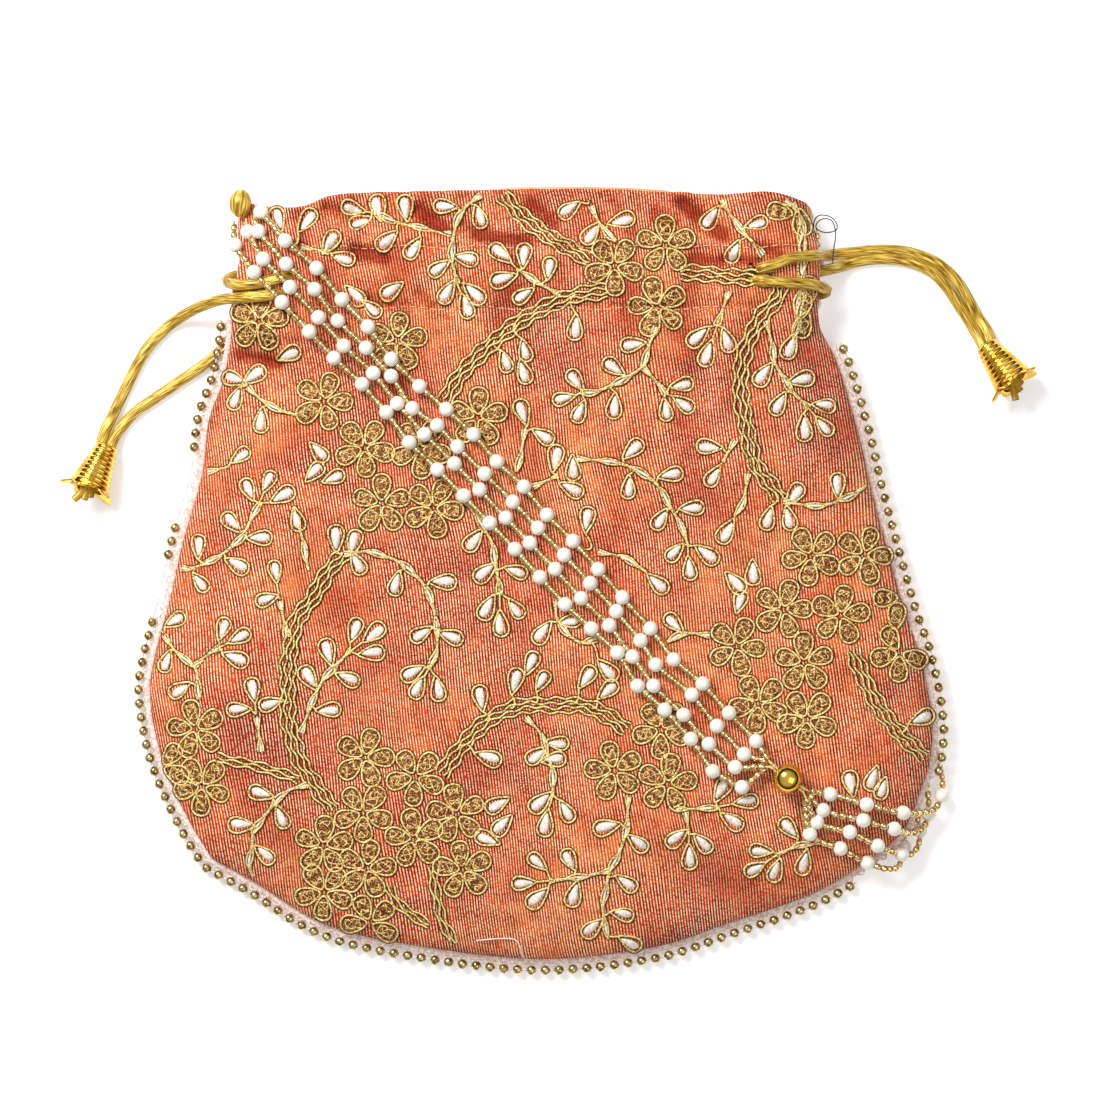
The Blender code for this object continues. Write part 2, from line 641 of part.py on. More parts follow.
def cone(name, ends_px, finish):
    """A petal-rimmed trumpet lying on the floor: a thin wall turned about its own axis."""
    neck_plan, mouth_plan = plan(ends_px)
    around, stations = 15, 5
    share = np.linspace(0.0, 1.0, stations)
    outer = CONE_NECK_RADIUS + (CONE_MOUTH_RADIUS - CONE_NECK_RADIUS) * share**2.2
    inner = outer - CONE_WALL
    angles = 2 * math.pi * np.arange(around) / around
    petals = np.cos(CONE_PETALS * angles)
    rings = []
    for radii, order in ((outer, range(stations)), (inner, range(stations - 1, -1, -1))):
        for k in order:
            along = CONE_LENGTH * share[k] + CONE_PETAL_DEPTH * petals * share[k] ** 4
            rings.append(np.c_[radii[k] * np.cos(angles), radii[k] * np.sin(angles), along])
    points = np.array(rings).reshape(-1, 3)
    faces = []
    for i in range(len(rings)):
        following = (i + 1) % len(rings)
        for k in range(around):
            turn = (k + 1) % around
            faces.append(
                (i * around + k, i * around + turn, following * around + turn, following * around + k)
            )
    made = solid(name, points, faces, finish)
    heading = Vector((*(mouth_plan - neck_plan), 0.0)).normalized()
    tilt = math.asin((CONE_MOUTH_RADIUS - CONE_NECK_RADIUS) / CONE_LENGTH * 0.9)
    direction = (heading * math.cos(tilt) + Vector((0, 0, 1)) * math.sin(tilt)).normalized()
    made.rotation_mode = "QUATERNION"
    made.rotation_quaternion = direction.to_track_quat("Z", "Y")
    turned = made.rotation_quaternion.to_matrix()
    lowest = min((turned @ v.co).z for v in made.data.vertices)
    made.location = (*neck_plan, CLEARANCE - lowest)
    return made


def strand_line(index, front):
    """One handle strand's line, and how far along it its white beads, crossings and ball lie."""
    rest = WHITE_BEAD_DIAMETER / 2 + CLEARANCE
    offset = (1.5 - index) * STRAND_SPACING
    front_plan = plan(STRAND_FRONT_PX[index])
    fan_plan, wrap_plan = plan(STRAND_FAN_PX[index]), plan(STRAND_WRAP_PX[index])
    threads = THREAD_DIAMETER * 0.75
    bore = np.array(((-1, 1), (-1, -1), (1, 1), (1, -1)))[index] * threads
    ball_plan, axis = np.array(metres(BALL_PX)), np.array((BALL_AXIS_PX[0], -BALL_AXIS_PX[1]))
    ball_height = ball_centre(front).z
    across = np.array((axis[1], -axis[0]))
    ball_points = [
        (*(ball_plan + k * axis * BALL_DIAMETER / 2 + across * bore[0]), ball_height + bore[1])
        for k in (-1.5, -0.75, 0.0, 0.75, 1.5)
    ]
    under = smooth_line(plan(STRAP_UNDER_PX[2:]))
    tangent = np.gradient(under, axis=0)
    tangent /= np.linalg.norm(tangent, axis=1)[:, None]
    along = lengths_along(under)
    closing = 1 - 0.3 * ease(0.7, 0.9, along / along[-1]) - 0.35 * ease(0.93, 1.0, along / along[-1])
    under = under + np.c_[tangent[:, 1], -tangent[:, 0]] * (offset * closing)[:, None]
    under = at_shares(under, np.linspace(0.06, 0.975, 14))
    top = [(*p, resting_height(front, *p, rest)) for p in front_plan]
    seeds = SEED_DIAMETER / 2 + CLEARANCE
    crossings = []
    for k in range(len(top) - 1, 0, -1):
        x, y, between = (np.array(top[k - 1]) + top[k]) / 2
        resting = resting_height(front, x, y, seeds)
        crossings.insert(0, resting > between)
        top.insert(k, (x, y, max(between, resting)))
    start = metres(STRAND_START_PX[index])
    first = [(*start, resting_height(front, *start, rest))]
    fan = [(*p, resting_height(front, *p, rest)) for p in fan_plan]
    wrap = [(*p, h) for p, h in zip(wrap_plan, STRAND_WRAP_HEIGHTS)]
    floor = [(*p, rest) for p in under]
    route = np.array(first + top + ball_points + fan + wrap + floor)
    line = smooth_line(route)
    marks = lengths_along(line)[::12]
    white_top = marks[1 : 1 + len(top) : 2]
    raised = marks[2 : len(top) : 2][crossings]
    after_ball = 1 + len(top) + len(ball_points)
    white_fan = marks[after_ball : after_ball + len(fan)]
    last_bead = marks[-1] - BEAD_PITCH * (0.9 + 0.5 * (index % 2))
    beads_left = np.arange(last_bead, white_fan[-1] + 0.8 * BEAD_PITCH, -BEAD_PITCH)[::-1]
    ball_span = (marks[1 + len(top)], marks[after_ball - 1])
    return line, np.concatenate([white_top, white_fan, beads_left]), raised, ball_span


def ball_centre(front):
    """The middle of the handle's ball, which lies on the front."""
    x, y = metres(BALL_PX)
    return Vector((x, y, top_around(front, x, y, BALL_DIAMETER / 3) + CLEARANCE + BALL_DIAMETER / 2))


def handle_strand(index, front, finish):
    """One beaded strand: a seed tube that swells at each white bead and is bare in the ball."""
    line, whites, raised, (ball_from, ball_to) = strand_line(index, front)
    seed, white = SEED_DIAMETER / 2, WHITE_BEAD_DIAMETER / 2
    marks, radii = [], []
    for place in whites:
        marks += [place - 0.8 * white, place, place + 0.8 * white]
        radii += [seed, white, seed]
    end = lengths_along(line)[-1]
    inside = [(m, r) for m, r in zip(marks, radii) if seed < m < end - seed]
    middle = (ball_from + ball_to) / 2
    near_ball = (ball_from - BARE_BEFORE_BALL, ball_from, middle, ball_to, ball_to + BARE_AFTER_BALL)
    bare = [(m, THREAD_DIAMETER / 2) for m in near_ball]
    stations = sorted([(0.0, seed), (end, seed)] + inside + bare + [(m, seed) for m in raised])
    kept = [stations[0]]
    for station in stations[1:]:
        if station[0] - kept[-1][0] > SEED_DIAMETER / 3:
            kept.append(station)
    places = point_at(line, [m for m, _ in kept])
    return swept(f"handle_strand_{index + 1}", places, polygon_section(4), [r for _, r in kept], finish)


def handle_ball(front, finish):
    """The gold ball: a sphere's profile with a bore, turned about the handle's direction."""
    around, stations = 16, 8
    radius, bore = BALL_DIAMETER / 2, BALL_BORE / 2
    reach = math.asin(bore / radius)
    bend = np.linspace(reach, math.pi - reach, stations)
    profile = np.c_[radius * np.sin(bend), radius * np.cos(bend)]
    angles = 2 * math.pi * np.arange(around) / around
    rings = [np.c_[r * np.cos(angles), r * np.sin(angles), np.full(around, h)] for r, h in profile]
    faces = []
    for i in range(stations):
        following = (i + 1) % stations
        for k in range(around):
            turn = (k + 1) % around
            faces.append(
                (i * around + k, i * around + turn, following * around + turn, following * around + k)
            )
    made = solid("handle_ball", np.array(rings).reshape(-1, 3), faces, finish)
    direction = Vector((BALL_AXIS_PX[0], -BALL_AXIS_PX[1], 0.0))
    made.rotation_mode = "QUATERNION"
    made.rotation_quaternion = direction.to_track_quat("Z", "Y")
    made.location = ball_centre(front)
    return made


def handle_loop(name, place_px, height, finish):
    """A thread-wrapped ring sewn to a top corner."""
    x, y = metres(place_px)
    around, section = 12, 6
    turn = 2 * math.pi * np.arange(around) / around
    ring = 2 * math.pi * np.arange(section) / section
    out = LOOP_RADIUS + LOOP_THREAD_RADIUS * np.cos(ring)[None]
    points = np.stack(
        [
            x + out * np.cos(turn)[:, None],
            y + LOOP_STRETCH * out * np.sin(turn)[:, None],
            height + LOOP_THREAD_RADIUS * np.sin(ring)[None] + 0 * turn[:, None],
        ],
        axis=-1,
    ).reshape(-1, 3)
    faces = []
    for i in range(around):
        for k in range(section):
            after, turn_k = (i + 1) % around, (k + 1) % section
            faces.append(
                (i * section + k, after * section + k, after * section + turn_k, i * section + turn_k)
            )
    return solid(name, points, faces, finish)


def outward_seam(grid, layers, reach):
    """The seam's line in space, point for point of SEAM, moved outwards in plan by the reach."""
    heights = (layers.back_top + layers.front_under) / 2
    edge = np.vstack([grid[::-1, 0], grid[0, 1:-1], grid[:, -1]])
    edge_heights = np.concatenate([heights[::-1, 0], heights[0, 1:-1], heights[:, -1]])
    edge_along, seam_along = lengths_along(edge), lengths_along(SEAM)
    tangent = np.gradient(SEAM, axis=0)
    tangent /= np.linalg.norm(tangent, axis=1)[:, None]
    moved = SEAM + np.c_[tangent[:, 1], -tangent[:, 0]] * reach
    z = np.interp(seam_along / seam_along[-1], edge_along / edge_along[-1], edge_heights)
    return np.c_[moved, z]


def seam_braid(grid, layers, finish):
    """The lace braid: a narrow band that follows the seam from shoulder to shoulder."""
    x, y = SEAM.T
    trim_top = np.where(x < 0, row_height(TRIM_TOP_LEFT_ROW), row_height(TRIM_TOP_RIGHT_ROW))
    line = outward_seam(grid, layers, BRAID_NEAR + BRAID_WIDTH / 2)[y < trim_top]
    stations = int(lengths_along(line)[-1] / BRAID_STEP)
    line = at_shares(line, np.linspace(0.0, 1.0, stations))
    half, thick = BRAID_WIDTH / 2, BRAID_THICKNESS / 2
    section = ((-half, -thick), (half, -thick), (half, thick), (-half, thick))
    return swept("edge_braid", line, section, np.ones(len(line)), finish)


def edge_beads(name, grid, layers, keep, finish):
    """A string of small brass beads along the kept part of the seam, bare where beads are missing."""
    line = outward_seam(grid, layers, EDGE_BEAD_REACH)[keep]
    total = lengths_along(line)[-1]
    count = int(total / EDGE_BEAD_PITCH)
    bead, thread = EDGE_BEAD_DIAMETER / 2, EDGE_THREAD_DIAMETER / 2
    stations = [(0.0, thread)]
    gaps = [(row_height(low), row_height(high)) for high, low in MISSING_BEAD_ROWS]
    for k in range(count):
        place = (k + 0.5) * total / count
        px, py, _ = point_at(line, place)
        missing = px < 0 and any(low < py < high for low, high in gaps)
        radius = thread if missing else bead
        stations += [(place, radius), (place + 0.5 * total / count, thread)]
    places = point_at(line, [m for m, _ in stations])
    return swept(name, places, polygon_section(4), [r for _, r in stations], finish)


def branch(name, points_px, front, finish):
    """A thick zari branch: a flat ribbon laid over the front panel."""
    line = smooth_line(plan(points_px), 3)
    lift = CLEARANCE + ZARI_THICKNESS / 2
    placed = np.array([(x, y, top_around(front, x, y, BRANCH_WIDTH / 2) + lift) for x, y in line])
    half, thick = BRANCH_WIDTH / 2, ZARI_THICKNESS / 2
    section = ((-half, -thick), (half, -thick), (half, thick), (-half, thick))
    taper = np.interp(np.linspace(0, 1, len(placed)), (0, 0.15, 0.85, 1), (0.5, 1.0, 1.0, 0.5))
    return swept(name, placed, section, taper, finish)


def flower(name, centre_px, front, turn, finish):
    """A five-petalled flower: a thin star with round petals, draped over the front panel."""
    x, y = metres(centre_px)
    count = PETAL_COUNT * 3
    angles = turn + 2 * math.pi * np.arange(count) / count
    wave = 0.5 + 0.5 * np.cos(PETAL_COUNT * (angles - turn))
    radii = PETAL_LENGTH * (PETAL_WAIST + (1 - PETAL_WAIST) * wave**0.6)
    ring = np.c_[x + radii * np.cos(angles), y + radii * np.sin(angles)]
    plan_points = np.vstack([[(x, y)], ring])
    low = np.array([top_around(front, *p, PETAL_LENGTH / 8) + CLEARANCE for p in plan_points])
    low[0] = max(low[0], low[1:].mean())
    points = np.vstack([np.c_[plan_points, low], np.c_[plan_points, low + ZARI_THICKNESS]])
    faces, above = [], count + 1
    for k in range(count):
        a, b = 1 + k, 1 + (k + 1) % count
        faces += [(0, b, a), (above, above + a, above + b), (a, b, above + b, above + a)]
    return solid(name, points, faces, finish)


def clear_scene():
    """Remove every object of the scene that the script starts in."""
    for old in list(bpy.data.objects):
        bpy.data.objects.remove(old, do_unlink=True)


def build():
    """Make every sub-part of the bag."""
    clear_scene()
    silk = material("coral_silk", CORAL_SILK, 0.5)
    satin = material("peach_satin", PEACH_SATIN, 0.45)
    lace = material("pink_lace", PINK_LACE, 0.8)
    brass = material("antique_brass", ANTIQUE_BRASS, 0.35, 1.0)
    gold_cord = material("gold_satin_cord", GOLD_SATIN, 0.4)
    gold = material("bright_gold", BRIGHT_GOLD, 0.2, 1.0)
    white = material("white_beads", WHITE_BEAD, 0.3)
    zari = material("zari_gold", ZARI_GOLD, 0.35, 0.6)

    grid = cloth_grid()
    layers = ClothLayers(grid)
    back = panel("back_panel", grid, layers.back_under, layers.back_top, BACK_SLITS_PX, silk)
    front = panel("front_panel", grid, layers.front_under, layers.front_top, FRONT_SLITS_PX, silk)
    pouch = lining(grid, layers, satin)
    back_tree, pouch_tree = surface_of([back]), surface_of([pouch])
    front_tree = surface_of([front], grid, layers.front_top)

    seam_braid(grid, layers, lace)
    wrap_high, wrap_low = row_height(WRAP_ROWS[0]), row_height(WRAP_ROWS[1])
    left_top, right_top = row_height(TRIM_TOP_LEFT_ROW), row_height(TRIM_TOP_RIGHT_ROW)
    x, y = SEAM.T
    lower = y < np.where(x < 0, left_top, wrap_low)
    right = (x > 0) & (y > wrap_high) & (y < right_top)
    edge_beads("edge_beads_lower", grid, layers, lower, brass)
    edge_beads("edge_beads_right", grid, layers, right, brass)

    cords = []
    for name, route, cone_px in (
        ("left", LEFT_DRAWSTRING_ROUTE, LEFT_CONE_PX),
        ("right", RIGHT_DRAWSTRING_ROUTE, RIGHT_CONE_PX),
    ):
        ends = cord_ends(cone(f"cone_{name}", cone_px, gold))
        line = drawstring_line(route, ends, front_tree, pouch_tree, back_tree)
        cords.append(cord(f"drawstring_{name}", line, gold_cord))

    under_handle = surface_of([front, *cords], grid, layers.front_top)
    for index in range(len(STRAND_FRONT_PX)):
        handle_strand(index, under_handle, white)
    handle_ball(front_tree, gold)
    loop_rest = LOOP_THREAD_RADIUS + CLEARANCE
    loop_reach = LOOP_STRETCH * (LOOP_RADIUS + LOOP_THREAD_RADIUS)
    left_height = top_around(front_tree, *metres(LOOP_LEFT_PX), loop_reach) + loop_rest
    handle_loop("handle_loop_left", LOOP_LEFT_PX, left_height, gold_cord)
    handle_loop("handle_loop_right", LOOP_RIGHT_PX, STRAP_ROOM - loop_rest, gold_cord)

    for number, points_px in enumerate(BRANCHES_PX, 1):
        branch(f"zari_branch_{number}", points_px, front_tree, zari)
    for number, centre_px in enumerate(FLOWERS_PX, 1):
        flower(f"zari_flower_{number:02d}", centre_px, front_tree, 0.7 * number, zari)


build()
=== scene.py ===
"""The looks of a drawstring potli bag that lies on its back.

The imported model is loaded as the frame. Cloth is a height field over the bag's plan, embroidery is
laid on it as fine cord, and the beads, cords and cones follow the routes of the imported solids.
"""

import logging
import math
from collections.abc import Sequence
from dataclasses import dataclass
from enum import Enum
from typing import ClassVar

import bpy
import numpy as np
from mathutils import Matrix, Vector

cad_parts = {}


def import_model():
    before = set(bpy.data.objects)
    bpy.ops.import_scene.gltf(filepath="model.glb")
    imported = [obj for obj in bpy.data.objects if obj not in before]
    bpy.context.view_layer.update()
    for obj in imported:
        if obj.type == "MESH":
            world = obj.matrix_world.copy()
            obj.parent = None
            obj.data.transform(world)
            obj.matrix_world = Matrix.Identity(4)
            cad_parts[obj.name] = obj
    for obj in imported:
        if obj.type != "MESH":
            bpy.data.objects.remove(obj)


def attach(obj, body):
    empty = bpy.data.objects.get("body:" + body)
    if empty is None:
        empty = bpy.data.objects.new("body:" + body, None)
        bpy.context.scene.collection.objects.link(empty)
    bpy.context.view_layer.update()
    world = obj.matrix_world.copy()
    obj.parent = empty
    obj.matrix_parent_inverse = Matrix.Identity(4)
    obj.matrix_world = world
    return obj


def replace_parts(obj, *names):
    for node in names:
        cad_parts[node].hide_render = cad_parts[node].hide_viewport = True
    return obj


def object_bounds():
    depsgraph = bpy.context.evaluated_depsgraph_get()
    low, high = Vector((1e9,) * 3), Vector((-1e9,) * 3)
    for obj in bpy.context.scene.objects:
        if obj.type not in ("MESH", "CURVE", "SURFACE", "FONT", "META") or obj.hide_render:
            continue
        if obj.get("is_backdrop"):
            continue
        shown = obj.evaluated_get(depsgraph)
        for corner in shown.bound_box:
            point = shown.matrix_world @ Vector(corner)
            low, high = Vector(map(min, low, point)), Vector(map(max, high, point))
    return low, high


LOG = logging.getLogger("potli")
ROOT = "root"
RIB_PITCH = 0.00078

Array = np.ndarray
Pixel = tuple[float, ...]
Pixels = Sequence[Pixel]
Colour = tuple[float, float, float]
Material = bpy.types.Material
Piece = bpy.types.Object
Socket = bpy.types.NodeSocket

# Scale of the photograph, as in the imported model
BODY_WIDTH, BODY_WIDTH_PX = 0.2096, 785.0
BODY_HEIGHT, BODY_HEIGHT_PX = 0.2056, 770.0
CENTRE_PX = (540.5, 581.0)
PIXEL = BODY_WIDTH / BODY_WIDTH_PX

# Cloth
PANEL_THICKNESS = 0.0008
CLEARANCE = 0.0003
LINING_CLEARANCE = 0.0010
LINING_THICKNESS = 0.0005
BODY_FULLNESS, CASING_FULLNESS, FRILL_FULLNESS = 0.0125, 0.0135, 0.0105
BODY_EDGE_RUN, NECK_EDGE_RUN = 0.040, 0.022
SEAM_LIFT, SEAM_LIFT_RUN, NECK_LIFT = 0.0015, 0.012, 0.0034
FRILL_ROW, CASING_TOP_ROW, CASING_FOOT_ROW, SHOULDER_ROW = 215.0, 248.0, 309.0, 390.0
DRAWSTRING_DIAMETER, DRAWSTRING_CLEARANCE = 0.0022, 0.0006
STRAP_HALF_WIDTH, STRAP_ROOM, STRAP_EASE = 0.0150, 0.0050, 0.0130

# Beads
WHITE_BEAD, SEED_LENGTH, SEED_DIAMETER, BEAD_PITCH = 0.0040, 0.0021, 0.0019, 0.0107
BALL_DIAMETER = 0.0080
EDGE_BEAD, EDGE_BEAD_PITCH, EDGE_BEAD_REACH = 0.0027, 0.0037, 0.0031

# The outline of the cloth, in pixels: the sides from the bottom corner up, the rest left to right
LEFT_SIDE_PX = (
    (210, 860), (186, 820), (160, 760), (148, 700), (152, 660), (168, 600), (181, 542),
    (200, 475), (207, 420), (222, 378), (231, 330), (232, 290), (239, 261), (237, 230), (240, 200),
)
RIGHT_SIDE_PX = (
    (875, 860), (905, 830), (922, 790), (931, 760), (933, 720), (922, 660), (905, 610), (887, 545),
    (874, 496), (859, 433), (838, 363), (820, 325), (819, 295), (820, 265), (815, 230), (808, 203),
)
BOTTOM_PX = (
    (210, 860), (255, 885), (321, 925), (400, 945), (534, 961), (650, 950), (730, 925), (815, 895),
    (875, 860),
)
MOUTH_PX = (
    (240, 200), (262, 206), (300, 208), (340, 195), (416, 192), (515, 190), (610, 190), (719, 195),
    (770, 193), (808, 203),
)
FRONT_SLITS_PX = ((281, 274, 291, 284), (277, 290, 287, 300), (746, 266, 757, 277), (745, 278, 756, 288))
BACK_SLITS_PX = ((280, 290, 292, 308),)
TRIM_TOP_LEFT_ROW, TRIM_TOP_RIGHT_ROW = 318.0, 346.0
WRAP_ROWS = (776.0, 872.0)
MISSING_BEAD_ROWS = ((460.0, 518.0), (560.0, 618.0))

# The handle's route, in pixels
STRAP_UNDER_PX = (
    (926, 790), (905, 735), (880, 685), (845, 620), (812, 540), (795, 460), (790, 380), (796, 300),
    (804, 240), (811, 212),
)
STRAND_FRONT_PX = (
    (
        (262, 213), (287, 243), (318, 270), (343, 301), (369, 328), (392, 360), (420, 387),
        (447, 410), (474, 435), (497, 462), (524, 487), (547, 515), (573, 541), (598, 569),
        (622, 597), (650, 628), (673, 659), (702, 683), (728, 712), (755, 740),
    ),
    (
        (260, 233), (288, 266), (316, 291), (339, 322), (367, 349), (392, 377), (413, 409),
        (438, 426), (458, 447), (485, 474), (513, 502), (538, 528), (564, 555), (590, 583),
        (616, 611), (640, 640), (655, 664), (691, 694), (716, 725), (743, 753),
    ),
    (
        (249, 233), (265, 261), (292, 289), (320, 319), (345, 347), (374, 374), (398, 404),
        (425, 435), (455, 464), (480, 490), (506, 518), (530, 543), (555, 569), (581, 598),
        (609, 625), (632, 656), (653, 685), (683, 714), (708, 743), (734, 766),
    ),
    (
        (236, 246), (256, 274), (284, 304), (311, 333), (335, 359), (363, 385), (387, 413),
        (410, 443), (438, 470), (464, 496), (490, 523), (515, 549), (540, 577), (565, 604),
        (591, 628), (617, 652), (637, 685), (664, 709), (690, 738), (712, 770), (741, 786),
    ),
)
STRAND_START_PX = ((258, 207), (255, 217), (247, 220), (234, 221))
BALL_PX, BALL_AXIS_PX = (786, 777), (0.80, 0.60)
STRAND_FAN_PX = (
    ((829, 793), (865, 803), (902, 812)),
    ((822, 809), (862, 819), (893, 828)),
    ((816, 821), (849, 831), (877, 845)),
    ((809, 833), (840, 848), (868, 863)),
)
STRAND_WRAP_PX = (
    ((924, 813), (938, 808), (945, 788), (940, 762), (926, 735)),
    ((909, 833), (924, 829), (931, 812), (927, 783), (912, 745)),
    ((896, 853), (913, 855), (922, 838), (915, 803), (897, 757)),
    ((884, 869), (899, 868), (906, 850), (901, 818), (882, 770)),
)
STRAND_WRAP_HEIGHTS = (0.0085, 0.0058, 0.0034, 0.0024, 0.0023)
STRAND_SPACING = 0.0044
LOOP_LEFT_PX, LOOP_RIGHT_PX = (241, 204), (803, 215)


class Layer(Enum):
    """What a stretch of drawstring lies on."""

    FLOOR = "floor"
    OVER = "over the front"
    UNDER = "under the front"
    BACK = "on the back panel"
    FREE = "between two layers"


FLOOR, OVER, UNDER, BACK, FREE = Layer.FLOOR, Layer.OVER, Layer.UNDER, Layer.BACK, Layer.FREE

# The drawstrings' routes in pixels, with what each point lies on, and the cones' necks and mouths
LEFT_ROUTE = (
    (101, 434, FREE), (111, 412, FLOOR), (122, 389, FLOOR), (141, 352, FLOOR), (163, 327, FLOOR),
    (184, 313, FREE), (206, 304, FREE), (222, 300, FREE), (240, 299, OVER), (256, 298, OVER),
    (269, 297, OVER), (280, 295, FREE), (293, 293, UNDER), (320, 291, UNDER), (400, 292, UNDER),
    (520, 293, UNDER), (640, 292, UNDER), (728, 286, UNDER), (740, 284, UNDER), (752, 282.5, FREE),
    (764, 283, OVER), (780, 284, OVER), (800, 285, OVER), (813, 286, OVER), (827, 290.5, FREE),
    (816, 294.5, BACK), (780, 296, BACK), (640, 296, BACK), (400, 296, BACK), (312, 296, BACK),
    (297, 297, BACK), (283, 300, FREE), (270, 304, FLOOR), (257, 310, FLOOR), (243, 321, FLOOR),
    (228, 337, FLOOR), (215, 352, FLOOR), (198, 366, FLOOR), (176, 381, FLOOR), (154, 396, FLOOR),
    (134, 410, FLOOR), (122, 422, FLOOR), (112, 437, FREE),
)
RIGHT_ROUTE = (
    (990, 330, FREE), (980, 314, FLOOR), (969, 294, FLOOR), (957, 276, FLOOR), (938, 260, FLOOR),
    (910, 250, FLOOR), (881, 248, FLOOR), (858, 250, FREE), (834, 253, FREE), (818, 256, OVER),
    (790, 260, OVER), (777, 265, OVER), (766, 268.5, OVER), (754, 272, FREE), (742, 272, UNDER),
    (728, 270, UNDER), (640, 270, UNDER), (520, 271, UNDER), (400, 270, UNDER), (318, 270, UNDER),
    (304, 273, UNDER), (292, 276, FREE), (280, 280, OVER), (264, 284, OVER), (250, 286, OVER),
    (238, 286, OVER), (227, 281, FREE), (238, 275, BACK), (270, 273, BACK), (400, 272, BACK),
    (640, 272, BACK), (780, 272, BACK), (812, 272, BACK), (836, 267, FREE), (858, 260, FLOOR),
    (881, 257, FLOOR), (908, 259, FLOOR), (933, 269, FLOOR), (949, 285, FLOOR), (961, 303, FLOOR),
    (972, 320, FLOOR), (981, 336, FREE),
)
LEFT_CONE_PX, RIGHT_CONE_PX = ((105, 446), (88, 487)), ((988, 344), (1014, 380))
CONE_LENGTH, CONE_CORD_DEPTH, CONE_WALL, CONE_PETALS = 0.0120, 0.0015, 0.0005, 5

# Steps to each stretch of a smoothed line, and a length that counts as nothing
SMOOTH_STEPS, TINY = 12, 1e-9


def metres(point_px: Pixel) -> tuple[float, float]:
    """Turn a pixel of the photograph into a place on the plan.

    Args:
        point_px: column and row.

    Returns:
        x and y in metres.
    """
    x = (point_px[0] - CENTRE_PX[0]) * BODY_WIDTH / BODY_WIDTH_PX
    y = (CENTRE_PX[1] - point_px[1]) * BODY_HEIGHT / BODY_HEIGHT_PX
    return x, y


def row_height(row_px: float) -> float:
    """Give the Y of a pixel row."""
    return metres((0.0, row_px))[1]


def plan(points_px: Pixels) -> Array:
    """Turn a list of pixels into an array of plan points."""
    return np.array([metres(p[:2]) for p in points_px])


def ease(start: float, end: float, value: Array) -> Array:
    """Smooth step: 0 before start, 1 after end, and 3t^2 - 2t^3 of the share t between them."""
    t = np.clip((value - start) / (end - start), 0.0, 1.0)
    return t * t * (3.0 - 2.0 * t)


def smooth_line(points: Array, pieces: int = SMOOTH_STEPS) -> Array:
    """Catmull-Rom curve through the points, as a dense polyline.

    Each stretch is the cubic that meets both of its points with half the step between their
    neighbours as its slope.

    Args:
        points: the points, one a row.
        pieces: how many steps to each stretch.

    Returns:
        The polyline's points.
    """
    points = np.asarray(points, float)
    padded = np.vstack([2 * points[0] - points[1], points, 2 * points[-1] - points[-2]])
    before, start, end, after = padded[:-3], padded[1:-2], padded[2:-1], padded[3:]
    t = (np.arange(pieces) / pieces)[None, :, None]
    curve = 0.5 * (
        2 * start[:, None]
        + (end - before)[:, None] * t
        + (2 * before - 5 * start + 4 * end - after)[:, None] * t**2
        + (3 * start - before - 3 * end + after)[:, None] * t**3
    )
    return np.vstack([curve.reshape(-1, points.shape[1]), points[-1]])


def lengths_along(line: Array) -> Array:
    """Distance from the start of a polyline to each of its points."""
    return np.concatenate([[0.0], np.cumsum(np.linalg.norm(np.diff(line, axis=0), axis=1))])


def point_at(line: Array, distances: Array) -> Array:
    """Points of a polyline at the given distances from its start."""
    along = lengths_along(line)
    return np.stack([np.interp(distances, along, line[:, k]) for k in range(line.shape[1])], axis=-1)


def at_shares(line: Array, shares: Array) -> Array:
    """Points of a polyline at the given shares of its length."""
    return point_at(line, np.asarray(shares) * lengths_along(line)[-1])


def distance_to(line: Array, points: Array) -> Array:
    """Distance of each plan point from a polyline, in batches that fit in memory.

    The distance to a stretch is that to its point at the share (p - start) . step / step^2, held
    between 0 and 1, and the least of them counts.

    Args:
        line: the polyline's plan points, one a row.
        points: plan points in any arrangement, the last axis x and y.

    Returns:
        One distance a point.
    """
    flat = points.reshape(-1, 2)
    start, step = line[:-1], np.diff(line, axis=0)
    square = (step**2).sum(-1)
    found = []
    for batch in np.array_split(flat, max(1, len(flat) // 4000)):
        to_point = batch[:, None] - start
        share = np.clip((to_point * step).sum(-1) / square, 0.0, 1.0)
        found.append(np.linalg.norm(to_point - share[..., None] * step, axis=-1).min(-1))
    return np.concatenate(found).reshape(points.shape[:-1])


LEFT_SIDE, RIGHT_SIDE = smooth_line(plan(LEFT_SIDE_PX)), smooth_line(plan(RIGHT_SIDE_PX))
BOTTOM, MOUTH = smooth_line(plan(BOTTOM_PX)), smooth_line(plan(MOUTH_PX))
SEAM = np.vstack([LEFT_SIDE[::-1], BOTTOM[1:-1], RIGHT_SIDE])
STRAP_UNDER = smooth_line(plan(STRAP_UNDER_PX))


@dataclass(frozen=True)
class Crease:
    """A fold of the front cloth along a line.

    Attributes:
        start: pixel where it starts.
        end: pixel where it ends.
        width_px: half its width, in pixels.
        rise: its height in metres, negative for a valley.
    """

    start: Pixel
    end: Pixel
    width_px: float
    rise: float

    def height(self, x: Array, y: Array) -> Array:
        """Height of the fold: its rise times a Gaussian across the line, which fades at both ends.

        Args:
            x: places across the bag.
            y: places up the bag.

        Returns:
            One height a place.
        """
        a, b = np.array(metres(self.start)), np.array(metres(self.end))
        step = b - a
        length = np.linalg.norm(step)
        across = ((x - a[0]) * step[1] - (y - a[1]) * step[0]) / length
        along = ((x - a[0]) * step[0] + (y - a[1]) * step[1]) / length**2
        fade = np.exp(-(np.clip(np.abs(along - 0.5) - 0.35, 0, None) / 0.15) ** 2)
        return self.rise * np.exp(-((across / (self.width_px * PIXEL)) ** 2)) * fade


